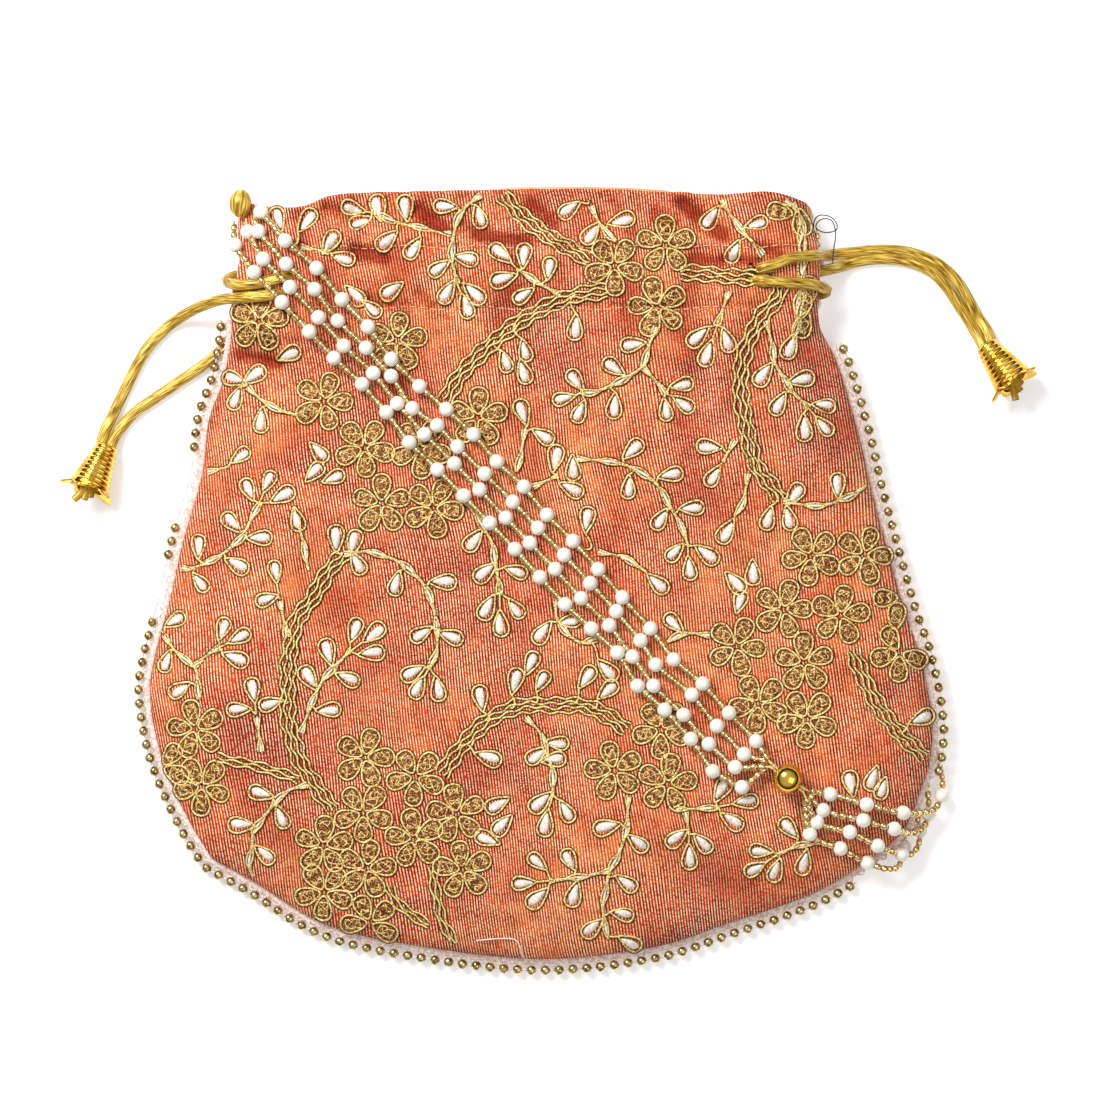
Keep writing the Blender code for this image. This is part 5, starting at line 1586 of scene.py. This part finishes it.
@dataclass
class Trim:
    """The lace braid and the brass beads of the seam.

    Attributes:
        finishes: the bag's materials.
        ribbon: reach, radius and flatness of the braid's woven strip.
        zigzags: phase, furthest and least reach, length and radius of each zigzag thread.
        cords: reach and radius of each straight thread.
        right_from: x beyond which a bead belongs to the right part.
    """

    finishes: Finishes
    lift: float = 0.0002
    step: float = 0.0004
    ribbon: tuple[float, float, float] = (0.0004, 0.0011, 0.3)
    zigzags: tuple[tuple[float, ...], ...] = (
        (0.0, 0.0022, 0.0002, 0.0037, 0.00026), (1.6, 0.0014, 0.0003, 0.0026, 0.00022),
    )
    cords: tuple[tuple[float, float], ...] = ((0.0004, 0.00034), (0.0011, 0.00024))
    ripple: float = 0.0002
    bead_bore: float = 0.35
    thread_radius: float = 0.00022
    right_from: float = 0.05

    def build(self) -> None:
        """Find the stretch of seam that is trimmed, then make the braid and the beads."""
        self.heights = ClothShape(SEAM).back_top + self.lift
        self.out = normals_of(SEAM)
        x, y = SEAM.T
        top = np.where(x < 0, row_height(TRIM_TOP_LEFT_ROW), row_height(TRIM_TOP_RIGHT_ROW))
        self.trimmed = y < top
        self.braid()
        self.beads()

    def along(self, reach: float, keep: Array) -> Array:
        """The seam's line moved outwards by the reach, at even steps."""
        return stationed(np.c_[SEAM + self.out * reach, self.heights][keep], self.step)

    def braid(self) -> None:
        """Lace: a woven strip, straight threads, and zigzags whose reach is the size of a sine."""
        batch = Batch()
        base = self.along(0.0, self.trimmed)
        out = normals_of(base[:, :2])
        level = np.zeros(len(base))
        reach, radius, flat = self.ribbon
        batch.add(*ring_tubes((base + np.c_[out * reach, level])[None], radius, 8, flat=flat))
        distance = lengths_along(base)
        ripple = self.ripple * np.sin(9 * math.pi * distance / 0.004)
        for phase, high, low, period, radius in self.zigzags:
            reach = low + (high - low) * np.abs(np.sin(math.pi * distance / period + phase))
            batch.add(*ring_tubes((base + np.c_[out * reach[:, None], ripple])[None], radius))
        for reach, radius in self.cords:
            batch.add(*ring_tubes((base + np.c_[out * reach, level])[None], radius))
        made = batch.build("lace_braid", self.finishes.lace)
        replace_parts(made, "edge_braid")

    def beads(self) -> None:
        """Brass beads at even steps, left out where the real ones are missing or hidden."""
        y = SEAM[:, 1]
        right = SEAM[:, 0] > self.right_from
        wrap_top, wrap_foot = (row_height(row) for row in WRAP_ROWS)
        parts = {
            "edge_beads_lower": self.trimmed & ~(right & (y > wrap_foot)),
            "edge_beads_right": self.trimmed & right & (y > wrap_top),
        }
        gaps = [(row_height(low), row_height(high)) for high, low in MISSING_BEAD_ROWS]
        for name, keep in parts.items():
            line = self.along(EDGE_BEAD_REACH, keep)
            total = lengths_along(line)[-1]
            count = int(total / EDGE_BEAD_PITCH)
            centres = point_at(line, (np.arange(count) + 0.5) * total / count)
            missing = np.zeros(count, bool)
            for low, high in gaps:
                missing |= (centres[:, 0] < 0) & (centres[:, 1] > low) & (centres[:, 1] < high)
            centres[:, 2] = np.maximum(centres[:, 2], EDGE_BEAD / 2 + CLEARANCE)
            axes = np.gradient(centres, axis=0)[~missing]
            batch = Batch()
            profile = ball_profile(EDGE_BEAD, 9, self.bead_bore)
            batch.add(*strung(centres[~missing], axes, profile))
            made = batch.build(name + "_brass", self.finishes.brass)
            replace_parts(made, name)
            thread = Batch()
            thread.add(*ring_tubes(line[None], self.thread_radius))
            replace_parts(thread.build(name + "_thread", self.finishes.lace), name)


@dataclass(frozen=True)
class Drawstrings:
    """Both drawstrings with the cones on their ends.

    Attributes:
        finishes: the bag's materials.
        heights: the front's height map.
        under_depth: least depth of the cord under the front's face.
        body_share: share of its length below the petals.
        neck_clearance: height of the neck's lowest point above the floor.
        knot_spreads: how far each cord end in the cone leans aside.
        knot_length: length of the shortest of them, and what each next one adds.
    """

    finishes: Finishes
    heights: HeightMap
    width: float = 0.0030
    flatness: float = 0.62
    left_cuts: tuple[int, int] = (12, 30)
    right_cuts: tuple[int, int] = (13, 32)
    cone_height: float = 0.0042
    under_depth: float = 0.002
    neck: float = 0.0023
    mouth: float = 0.0050
    flare: float = 0.0024
    body_share: float = 0.78
    rings: int = 9
    ring_swell: float = 0.00046
    neck_clearance: float = 0.0016
    knot_spreads: tuple[float, ...] = (-0.45, 0.0, 0.5)
    knot_length: tuple[float, float] = (0.0085, 0.0012)
    knot_radius: float = 0.0010

    def build(self) -> None:
        """Make both sides."""
        self.side("left", LEFT_ROUTE, LEFT_CONE_PX, self.left_cuts)
        self.side("right", RIGHT_ROUTE, RIGHT_CONE_PX, self.right_cuts)

    def line(self, route: Sequence[tuple], cone_px: Pixels) -> tuple[Array, Array]:
        """The cord's middle: smooth in plan, its height set by what each stretch lies on.

        Between two known stretches the height runs straight, and a bell-shaped moving average
        rounds it off. Over the front it then never dips below the cloth.

        Args:
            route: pixels with the layer each lies on.
            cone_px: the cone's neck and mouth, in pixels.

        Returns:
            The line, and how far along its plan each of the route's points lies.
        """
        neck, mouth = plan(cone_px)
        heading = (mouth - neck) / np.linalg.norm(mouth - neck)
        apart = np.array((heading[1], -heading[0])) * DRAWSTRING_DIAMETER / 2
        ends = (neck + heading * CONE_CORD_DEPTH + apart, neck + heading * CONE_CORD_DEPTH - apart)
        if np.linalg.norm(ends[0] - metres(route[0])) > np.linalg.norm(ends[1] - metres(route[0])):
            ends = ends[::-1]
        places = [ends[0], *plan(route), ends[1]]
        line = smooth_line(places)
        marks = lengths_along(line)[::SMOOTH_STEPS]
        fine = np.linspace(0.0, marks[-1], 1400)
        points = point_at(line, fine)
        named = np.array([Layer.FREE, *[p[2] for p in route], Layer.FREE], dtype=object)
        nearest = named[np.abs(fine[:, None] - marks[None]).argmin(1)]
        radius = DRAWSTRING_DIAMETER / 2
        shape = ClothShape(points)
        above = radius + DRAWSTRING_CLEARANCE
        choices = {
            Layer.FLOOR: np.full(len(fine), radius + CLEARANCE),
            Layer.OVER: self.heights.rest(points, radius),
            Layer.UNDER: np.minimum(shape.lining_top + above, shape.front_top - self.under_depth),
            Layer.BACK: shape.back_top + above,
        }
        z = np.full(len(fine), np.nan)
        for layer, height in choices.items():
            here = nearest == layer
            z[here] = height[here]
        z[0] = z[-1] = self.cone_height
        known = ~np.isnan(z)
        z = np.interp(fine, fine[known], z[known])
        window = np.hanning(25)[1:-1]
        z = np.convolve(np.pad(z, len(window) // 2, mode="edge"), window / window.sum(), mode="valid")
        over = nearest == Layer.OVER
        z[over] = np.maximum(z[over], choices[Layer.OVER][over])
        z = np.convolve(np.pad(z, 3, mode="edge"), np.full(7, 1 / 7), mode="valid")
        return np.c_[points, z], marks[1:-1]

    def side(self, name: str, route: Sequence[tuple], cone_px: Pixels, cuts: tuple[int, int]) -> None:
        """One drawstring: two free ends and the run through the casing.

        Args:
            name: left or right.
            route: pixels with the layer each lies on.
            cone_px: the cone's neck and mouth, in pixels.
            cuts: the route's points where the free ends stop.
        """
        line, marks = self.line(route, cone_px)
        along = lengths_along(line[:, :2])
        first, last = marks[cuts[0]], marks[cuts[1]]
        trumpet = self.cone(name, cone_px)
        parts = {
            "front": along <= first,
            "casing": (along >= first) & (along <= last),
            "rear": along >= last,
        }
        for part, keep in parts.items():
            run = stationed(line[keep], 0.0009)
            points, quads, uv = tube(run, self.width / 2, 10, self.flatness)
            made = mesh_object(f"drawstring_{name}_{part}", points, quads, self.finishes.cord, uv)
            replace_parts(made, f"drawstring_{name}")
            if part == "casing":
                continue
            free = run if part == "front" else run[::-1]
            leaves = free[-1]
            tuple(leaves)
            round(float(lengths_along(run)[-1]), 4)

    def cone(self, name: str, cone_px: Pixels) -> Piece:
        """A trumpet of stacked rings that opens into petals which curl outwards.

        The radius grows evenly along the axis with a small swell at each ring, the size of a sine.
        Past the mouth it grows with the share of the rim to the power 1.6, and a cosine round the
        axis cuts the rim into petals. Three short ends of cord show inside it.

        Args:
            name: left or right.
            cone_px: the cone's neck and mouth, in pixels.

        Returns:
            The trumpet.
        """
        neck, mouth = plan(cone_px)
        heading = (mouth - neck) / np.linalg.norm(mouth - neck)
        share = np.linspace(0.0, 1.0, 76)[:, None]
        turn = (2 * math.pi * np.arange(90) / 90)[None]
        body = np.clip(share / self.body_share, 0.0, 1.0)
        rim = np.clip((share - self.body_share) / (1 - self.body_share), 0.0, 1.0)
        petal = 0.5 + 0.5 * np.cos(CONE_PETALS * turn)
        radius = self.neck + (self.mouth - self.neck) * body
        radius = radius + self.ring_swell * np.abs(np.sin(self.rings * math.pi * body)) * (rim <= 0)
        radius = radius + rim**1.6 * (0.0006 + self.flare * petal)
        reach = CONE_LENGTH * body + rim * (0.0004 + 0.0022 * petal) - 0.0010 * rim**3 * petal
        tilt = math.asin((self.mouth - self.neck) / CONE_LENGTH * 0.9)
        axis = np.array((*(heading * math.cos(tilt)), math.sin(tilt)))
        side = np.array((heading[1], -heading[0], 0.0))
        up = np.cross(side, axis)
        points = (
            np.array((*neck, 0.0))
            + (radius * np.cos(turn))[..., None] * side
            + (radius * np.sin(turn))[..., None] * up
            + reach[..., None] * axis
        )
        axis_height = self.neck + self.neck_clearance
        points[..., 2] = np.maximum(points[..., 2] + axis_height, CONE_WALL / 2 + 0.0001)
        quads = grid_faces(share.size, turn.size, wrap=True)
        made = mesh_object(f"trumpet_{name}", points.reshape(-1, 3), quads, self.finishes.gold)
        solidify = made.modifiers.new("thickness", "SOLIDIFY")
        solidify.thickness = CONE_WALL
        solidify.offset = 0.0
        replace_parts(made, f"cone_{name}")
        tail = Batch()
        start = np.array((*neck, axis_height)) + CONE_LENGTH / 2 * axis
        shortest, added = self.knot_length
        for k, spread in enumerate(self.knot_spreads):
            lengths = np.linspace(0.0, shortest + added * k, 14)[:, None]
            bend = spread * 0.35 * lengths**2 / shortest
            line = start + lengths * axis + bend * side
            line[:, 2] = np.maximum(line[:, 2], self.neck_clearance)
            tail.add(*ring_tubes(line[None], self.knot_radius, 10, flat=0.75))
        tail.build(f"knot_{name}", self.finishes.cord)
        return made


@dataclass
class Handle:
    """The four beaded strands, the ball and the wrapped loops.

    Attributes:
        finishes: the bag's materials.
        heights: the front's height map.
        ball_reach: where a strand's line is led through the ball, in its radii from the middle.
        bore_sides: which way each strand lies off the middle of the bore, across and up.
        bare: length without seeds before and behind the ball's outer marks.
        highest_loop: greatest height of the left loop's middle.
        lowest_loop: height of the right loop's middle, under the bag.
        knuckle: half length, radius, flatness and rise at the middle of a wrapped loop.
    """

    STRAND_DIAMETER: ClassVar[float] = 0.0040
    SEED_PROFILE: ClassVar[tuple[tuple[float, float], ...]] = (
        (0.35, -1.0), (0.72, -0.96), (0.95, -0.6), (1.0, 0.0), (0.95, 0.6), (0.72, 0.96), (0.35, 1.0),
    )

    finishes: Finishes
    heights: HeightMap
    ball_reach: tuple[float, ...] = (-1.5, -0.75, 0.0, 0.75, 1.5)
    bore_sides: tuple[tuple[int, int], ...] = ((-1, 1), (-1, -1), (1, 1), (1, -1))
    bore_spread: float = 0.0006
    bare: tuple[float, float] = (0.0016, 0.0010)
    thread_radius: float = 0.00028
    highest_loop: float = 0.0118
    lowest_loop: float = 0.0036
    knuckle: tuple[float, float, float, float] = (0.0036, 0.0030, 0.85, 0.0012)

    def build(self) -> None:
        """Make the ball and the loops, then the strands that hang on them."""
        rest = self.heights.rest
        ball_plan = np.array(metres(BALL_PX))
        self.ball_centre = np.array((*ball_plan, float(rest(ball_plan[None], BALL_DIAMETER / 2)[0])))
        ball = self.ball()
        loop_height = float(rest(np.array([metres(LOOP_LEFT_PX)]), 0.0025)[0])
        loop = self.loop("left", LOOP_LEFT_PX, min(loop_height, self.highest_loop))
        self.loop("right", LOOP_RIGHT_PX, self.lowest_loop)
        for index in range(len(STRAND_FRONT_PX)):
            self.strand(index)

    def route(self, index: int) -> tuple[Array, Array, tuple[float, float]]:
        """A strand's line with the places of its white beads and of the ball.

        The line runs over the front's beads, through the ball, over the fan, round the edge and
        under the bag beside the strap's middle, from which it stands off less and less.

        Args:
            index: from 0, the strand nearest the mouth.

        Returns:
            The line, how far along it the white beads sit, and where the ball starts and ends.
        """
        white = WHITE_BEAD / 2
        front, fan, wrap = (plan(part[index]) for part in (STRAND_FRONT_PX, STRAND_FAN_PX, STRAND_WRAP_PX))
        axis = np.array((BALL_AXIS_PX[0], -BALL_AXIS_PX[1]))
        across = np.array((axis[1], -axis[0]))
        bore = np.array(self.bore_sides[index]) * self.bore_spread
        steps = np.array(self.ball_reach)[:, None] * axis * BALL_DIAMETER / 2
        level = np.full(len(steps), self.ball_centre[2] + bore[1])
        in_ball = np.c_[self.ball_centre[:2] + steps + across * bore[0], level]
        under = smooth_line(plan(STRAP_UNDER_PX[2:]))
        along = lengths_along(under) / lengths_along(under)[-1]
        closing = 1 - 0.3 * ease(0.7, 0.9, along) - 0.35 * ease(0.93, 1.0, along)
        under = under + normals_of(under) * ((1.5 - index) * STRAND_SPACING * closing)[:, None]
        under = at_shares(under, np.linspace(0.06, 0.975, 14))
        rest = self.heights.rest
        top = np.c_[front, rest(front, white)]
        middle = (top[:-1] + top[1:]) / 2
        middle[:, 2] = np.maximum(middle[:, 2], rest(middle, SEED_DIAMETER / 2))
        strung_top = np.insert(top, np.arange(1, len(top)), middle, axis=0)
        start = np.array([metres(STRAND_START_PX[index])])
        first = np.c_[start, rest(start, white)]
        fan = np.c_[fan, rest(fan, white)]
        wrap = np.c_[wrap, STRAND_WRAP_HEIGHTS]
        floor = np.c_[under, np.full(len(under), white + CLEARANCE)]
        line = smooth_line(np.vstack([first, strung_top, in_ball, fan, wrap, floor]))
        marks = lengths_along(line)[::SMOOTH_STEPS]
        after_ball = 1 + len(strung_top) + len(in_ball)
        on_fan = marks[after_ball : after_ball + len(fan)]
        last = marks[-1] - BEAD_PITCH * (0.9 + 0.5 * (index % 2))
        left = np.arange(last, on_fan[-1] + 0.8 * BEAD_PITCH, -BEAD_PITCH)[::-1]
        whites = np.concatenate([marks[1 : 1 + len(strung_top) : 2], on_fan, left])
        return line, whites, (marks[1 + len(strung_top)], marks[after_ball - 1])

    def strand(self, index: int) -> None:
        """One strand: thread, white beads, and seeds at even steps between them.

        Args:
            index: from 0, the strand nearest the mouth.
        """
        line, whites, (ball_from, ball_to) = self.route(index)
        end = lengths_along(line)[-1]
        edges = np.concatenate([[-WHITE_BEAD / 4], whites, [end + WHITE_BEAD / 4]])
        seeds = []
        for low, high in zip(edges[:-1], edges[1:]):
            room = high - low - WHITE_BEAD
            count = max(0, round(room / SEED_LENGTH))
            seeds.append(low + WHITE_BEAD / 2 + (np.arange(count) + 0.5) * room / max(count, 1))
        seeds = np.concatenate(seeds)
        bare = (seeds > ball_from - self.bare[0]) & (seeds < ball_to + self.bare[1])
        seeds = seeds[~bare & (seeds > 0) & (seeds < end)]
        step = 0.0004
        batch = Batch()
        batch.add(*ring_tubes(stationed(line, 0.0012)[None], self.thread_radius, 6))
        white_axes = point_at(line, whites + step) - point_at(line, whites - step)
        profile = ball_profile(WHITE_BEAD, 13, 0.2)
        batch.add(*strung(point_at(line, whites), white_axes, profile, 20), slot=1)
        seed_axes = point_at(line, seeds + step) - point_at(line, seeds - step)
        barrel = np.array(self.SEED_PROFILE) * (SEED_DIAMETER / 2, 0.48 * SEED_LENGTH)
        batch.add(*strung(point_at(line, seeds), seed_axes, barrel, 12), slot=2)
        finishes = self.finishes.zari, self.finishes.white, self.finishes.seed
        made = batch.build(f"strand_{index + 1}", *finishes)
        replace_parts(made, f"handle_strand_{index + 1}")
        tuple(line[0])
        stationed(line, 0.002)

    def ball(self) -> Piece:
        """The gold ball: a circle turned about the handle's direction, open at its bore.

        Returns:
            The ball.
        """
        batch = Batch()
        axis = np.array([(BALL_AXIS_PX[0], -BALL_AXIS_PX[1], 0.0)])
        batch.add(*strung(self.ball_centre[None], axis, ball_profile(BALL_DIAMETER, 24, 0.42), 40))
        made = batch.build("ball", self.finishes.gold)
        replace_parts(made, "handle_ball")
        return made

    def loop(self, name: str, place_px: Pixel, height: float) -> Piece:
        """A knuckle of wrapped satin thread: a tube along y whose radius is that of an ellipse.

        Args:
            name: left or right.
            place_px: where its middle lies.
            height: height of its middle.

        Returns:
            The loop.
        """
        half_length, radius, flat, rise = self.knuckle
        x, y = metres(place_px)
        share = -np.cos(np.linspace(0.06, math.pi - 0.06, 40))
        bend = height + 0.0004 - rise * share**2
        line = np.c_[np.full(len(share), x), y + half_length * share, bend]
        points, quads, uv = tube(line, radius * np.sqrt(1 - share**2), 24, flat)
        made = mesh_object(f"wrapped_loop_{name}", points, quads, self.finishes.cord, uv)
        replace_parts(made, f"handle_loop_{name}")
        return made


@dataclass(frozen=True)
class LooseThreads:
    """The dark loop at the neck and the white thread at the bottom edge.

    Attributes:
        finishes: the bag's materials.
        heights: the front's height map.
        dark_level: least height of the dark one, which stands off the floor.
    """

    DARK_PX: ClassVar[Pixels] = (
        (816, 238), (815, 222), (820, 214), (831, 215), (838, 222), (837, 229), (826, 231), (817, 226),
        (822, 218), (833, 219), (837, 232), (835, 248), (834, 262),
    )
    WHITE_PX: ClassVar[Pixels] = ((476, 941), (498, 939), (515, 940), (521, 950), (523, 958), (530, 962))

    finishes: Finishes
    heights: HeightMap
    dark_radius: float = 0.00016
    white_radius: float = 0.0002
    lift: float = 0.0004
    dark_level: float = 0.004
    step: float = 0.0006

    def build(self) -> None:
        """Lay both threads."""
        lying, read = self.heights.lying, self.heights.read
        dark = stationed(smooth_line(plan(self.DARK_PX)), self.step)
        lifted = np.c_[dark, np.maximum(self.dark_level, read(dark, lying) + self.lift)]
        white = stationed(smooth_line(plan(self.WHITE_PX)), self.step)
        laid = np.c_[white, read(white, lying) + self.lift]
        for name, line, radius, finish in (
            ("dark_thread", lifted, self.dark_radius, self.finishes.dark_thread),
            ("white_thread", laid, self.white_radius, self.finishes.lace),
        ):
            batch = Batch()
            batch.add(*ring_tubes(line[None], radius, 6))
            batch.build(name, finish)


@dataclass(frozen=True)
class Studio:
    """The camera, the lights and the floor.

    Attributes:
        view_width: width of what the camera sees at the view level.
        image_centre_px: pixel below the camera.
        world_ramp: height share and shade where the world's light is least and where it is full.
        floor_glow: how much light it adds, so that it shows white.
    """

    camera_height: float = 1.30
    sensor: float = 0.036
    view_width: float = 0.2937
    view_level: float = 0.010
    image_centre_px: Pixel = (550.0, 550.0)
    world_ramp: tuple[tuple[float, float], ...] = ((0.22, 0.02), (0.62, 1.0))
    world_strength: float = 0.55
    floor_colour: Colour = (0.93, 0.93, 0.93)
    floor_glow: float = 0.28
    floor_reach: float = 2.0

    def build(self) -> None:
        """Set them up."""
        self.camera()
        self.light("key", (-0.55, 0.65, 0.9), 0.5, 15.5)
        self.light("fill", (0.6, -0.3, 1.1), 0.9, 3.0)
        self.world()
        self.floor()
        bpy.context.scene.view_settings.view_transform = "Standard"

    def camera(self) -> None:
        """Straight down, as far off as the photograph's perspective suggests."""
        data = bpy.data.cameras.new("camera")
        data.sensor_width = self.sensor * 1000
        distance = self.camera_height - self.view_level
        data.lens = data.sensor_width * distance / self.view_width
        made = bpy.data.objects.new("camera", data)
        made.location = (*metres(self.image_centre_px), self.camera_height)
        bpy.context.scene.collection.objects.link(made)
        bpy.context.scene.camera = made

    @staticmethod
    def light(name: str, place: Colour, size: float, power: float) -> None:
        """A soft square light that faces the bag.

        Args:
            name: its name.
            place: where it stands.
            size: its side.
            power: its power in watts.
        """
        data = bpy.data.lights.new(name, "AREA")
        data.size, data.energy = size, power
        made = bpy.data.objects.new(name, data)
        made.location = place
        made.rotation_euler = Vector(place).to_track_quat("Z", "Y").to_euler()
        bpy.context.scene.collection.objects.link(made)

    def world(self) -> None:
        """White light from above that fades out towards the floor."""
        world = bpy.data.worlds.new("world")
        world.use_nodes = True
        nodes, links = world.node_tree.nodes, world.node_tree.links
        place, split = nodes.new("ShaderNodeTexCoord"), nodes.new("ShaderNodeSeparateXYZ")
        ramp = nodes.new("ShaderNodeValToRGB")
        for element, (height, shade) in zip(ramp.color_ramp.elements, self.world_ramp):
            element.position, element.color = height, (shade, shade, shade, 1.0)
        links.new(place.outputs["Generated"], split.inputs["Vector"])
        links.new(split.outputs["Z"], ramp.inputs["Fac"])
        links.new(ramp.outputs["Color"], nodes["Background"].inputs["Color"])
        nodes["Background"].inputs["Strength"].default_value = self.world_strength
        bpy.context.scene.world = world

    def floor(self) -> None:
        """A plain white floor."""
        finish = Finish("floor", 0.9)
        finish.shader.inputs["Base Color"].default_value = (*self.floor_colour, 1.0)
        finish.shader.inputs["Emission Color"].default_value = (1.0, 1.0, 1.0, 1.0)
        finish.shader.inputs["Emission Strength"].default_value = self.floor_glow
        mesh = bpy.data.meshes.new("floor")
        far = self.floor_reach
        points = (-far, -far, 0), (far, -far, 0), (far, far, 0), (-far, far, 0)
        mesh.from_pydata(points, [], [(0, 1, 2, 3)])
        mesh.materials.append(finish.material)
        made = bpy.data.objects.new("floor", mesh)
        bpy.context.scene.collection.objects.link(made)
        made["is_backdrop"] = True


def corners(bounds: Sequence) -> list[list[float]]:
    """Turn a box into plain lists of numbers."""
    return [[float(v) for v in corner] for corner in bounds]


def main() -> None:
    """Build the whole scene: the studio, the materials and each sub-assembly in turn."""
    logging.basicConfig(level=logging.INFO)
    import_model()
    packed = corners(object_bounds())
    Studio().build()
    finishes = Finishes()
    heights = HeightMap()
    Drawstrings(finishes, heights).build()
    Handle(finishes, heights).build()
    Cloth(finishes).build()
    Embroidery(finishes, heights).build()
    Trim(finishes).build()
    LooseThreads(finishes, heights).build()
    {"packed": packed, "dressed": corners(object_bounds())}


if __name__ == "__main__":
    main()
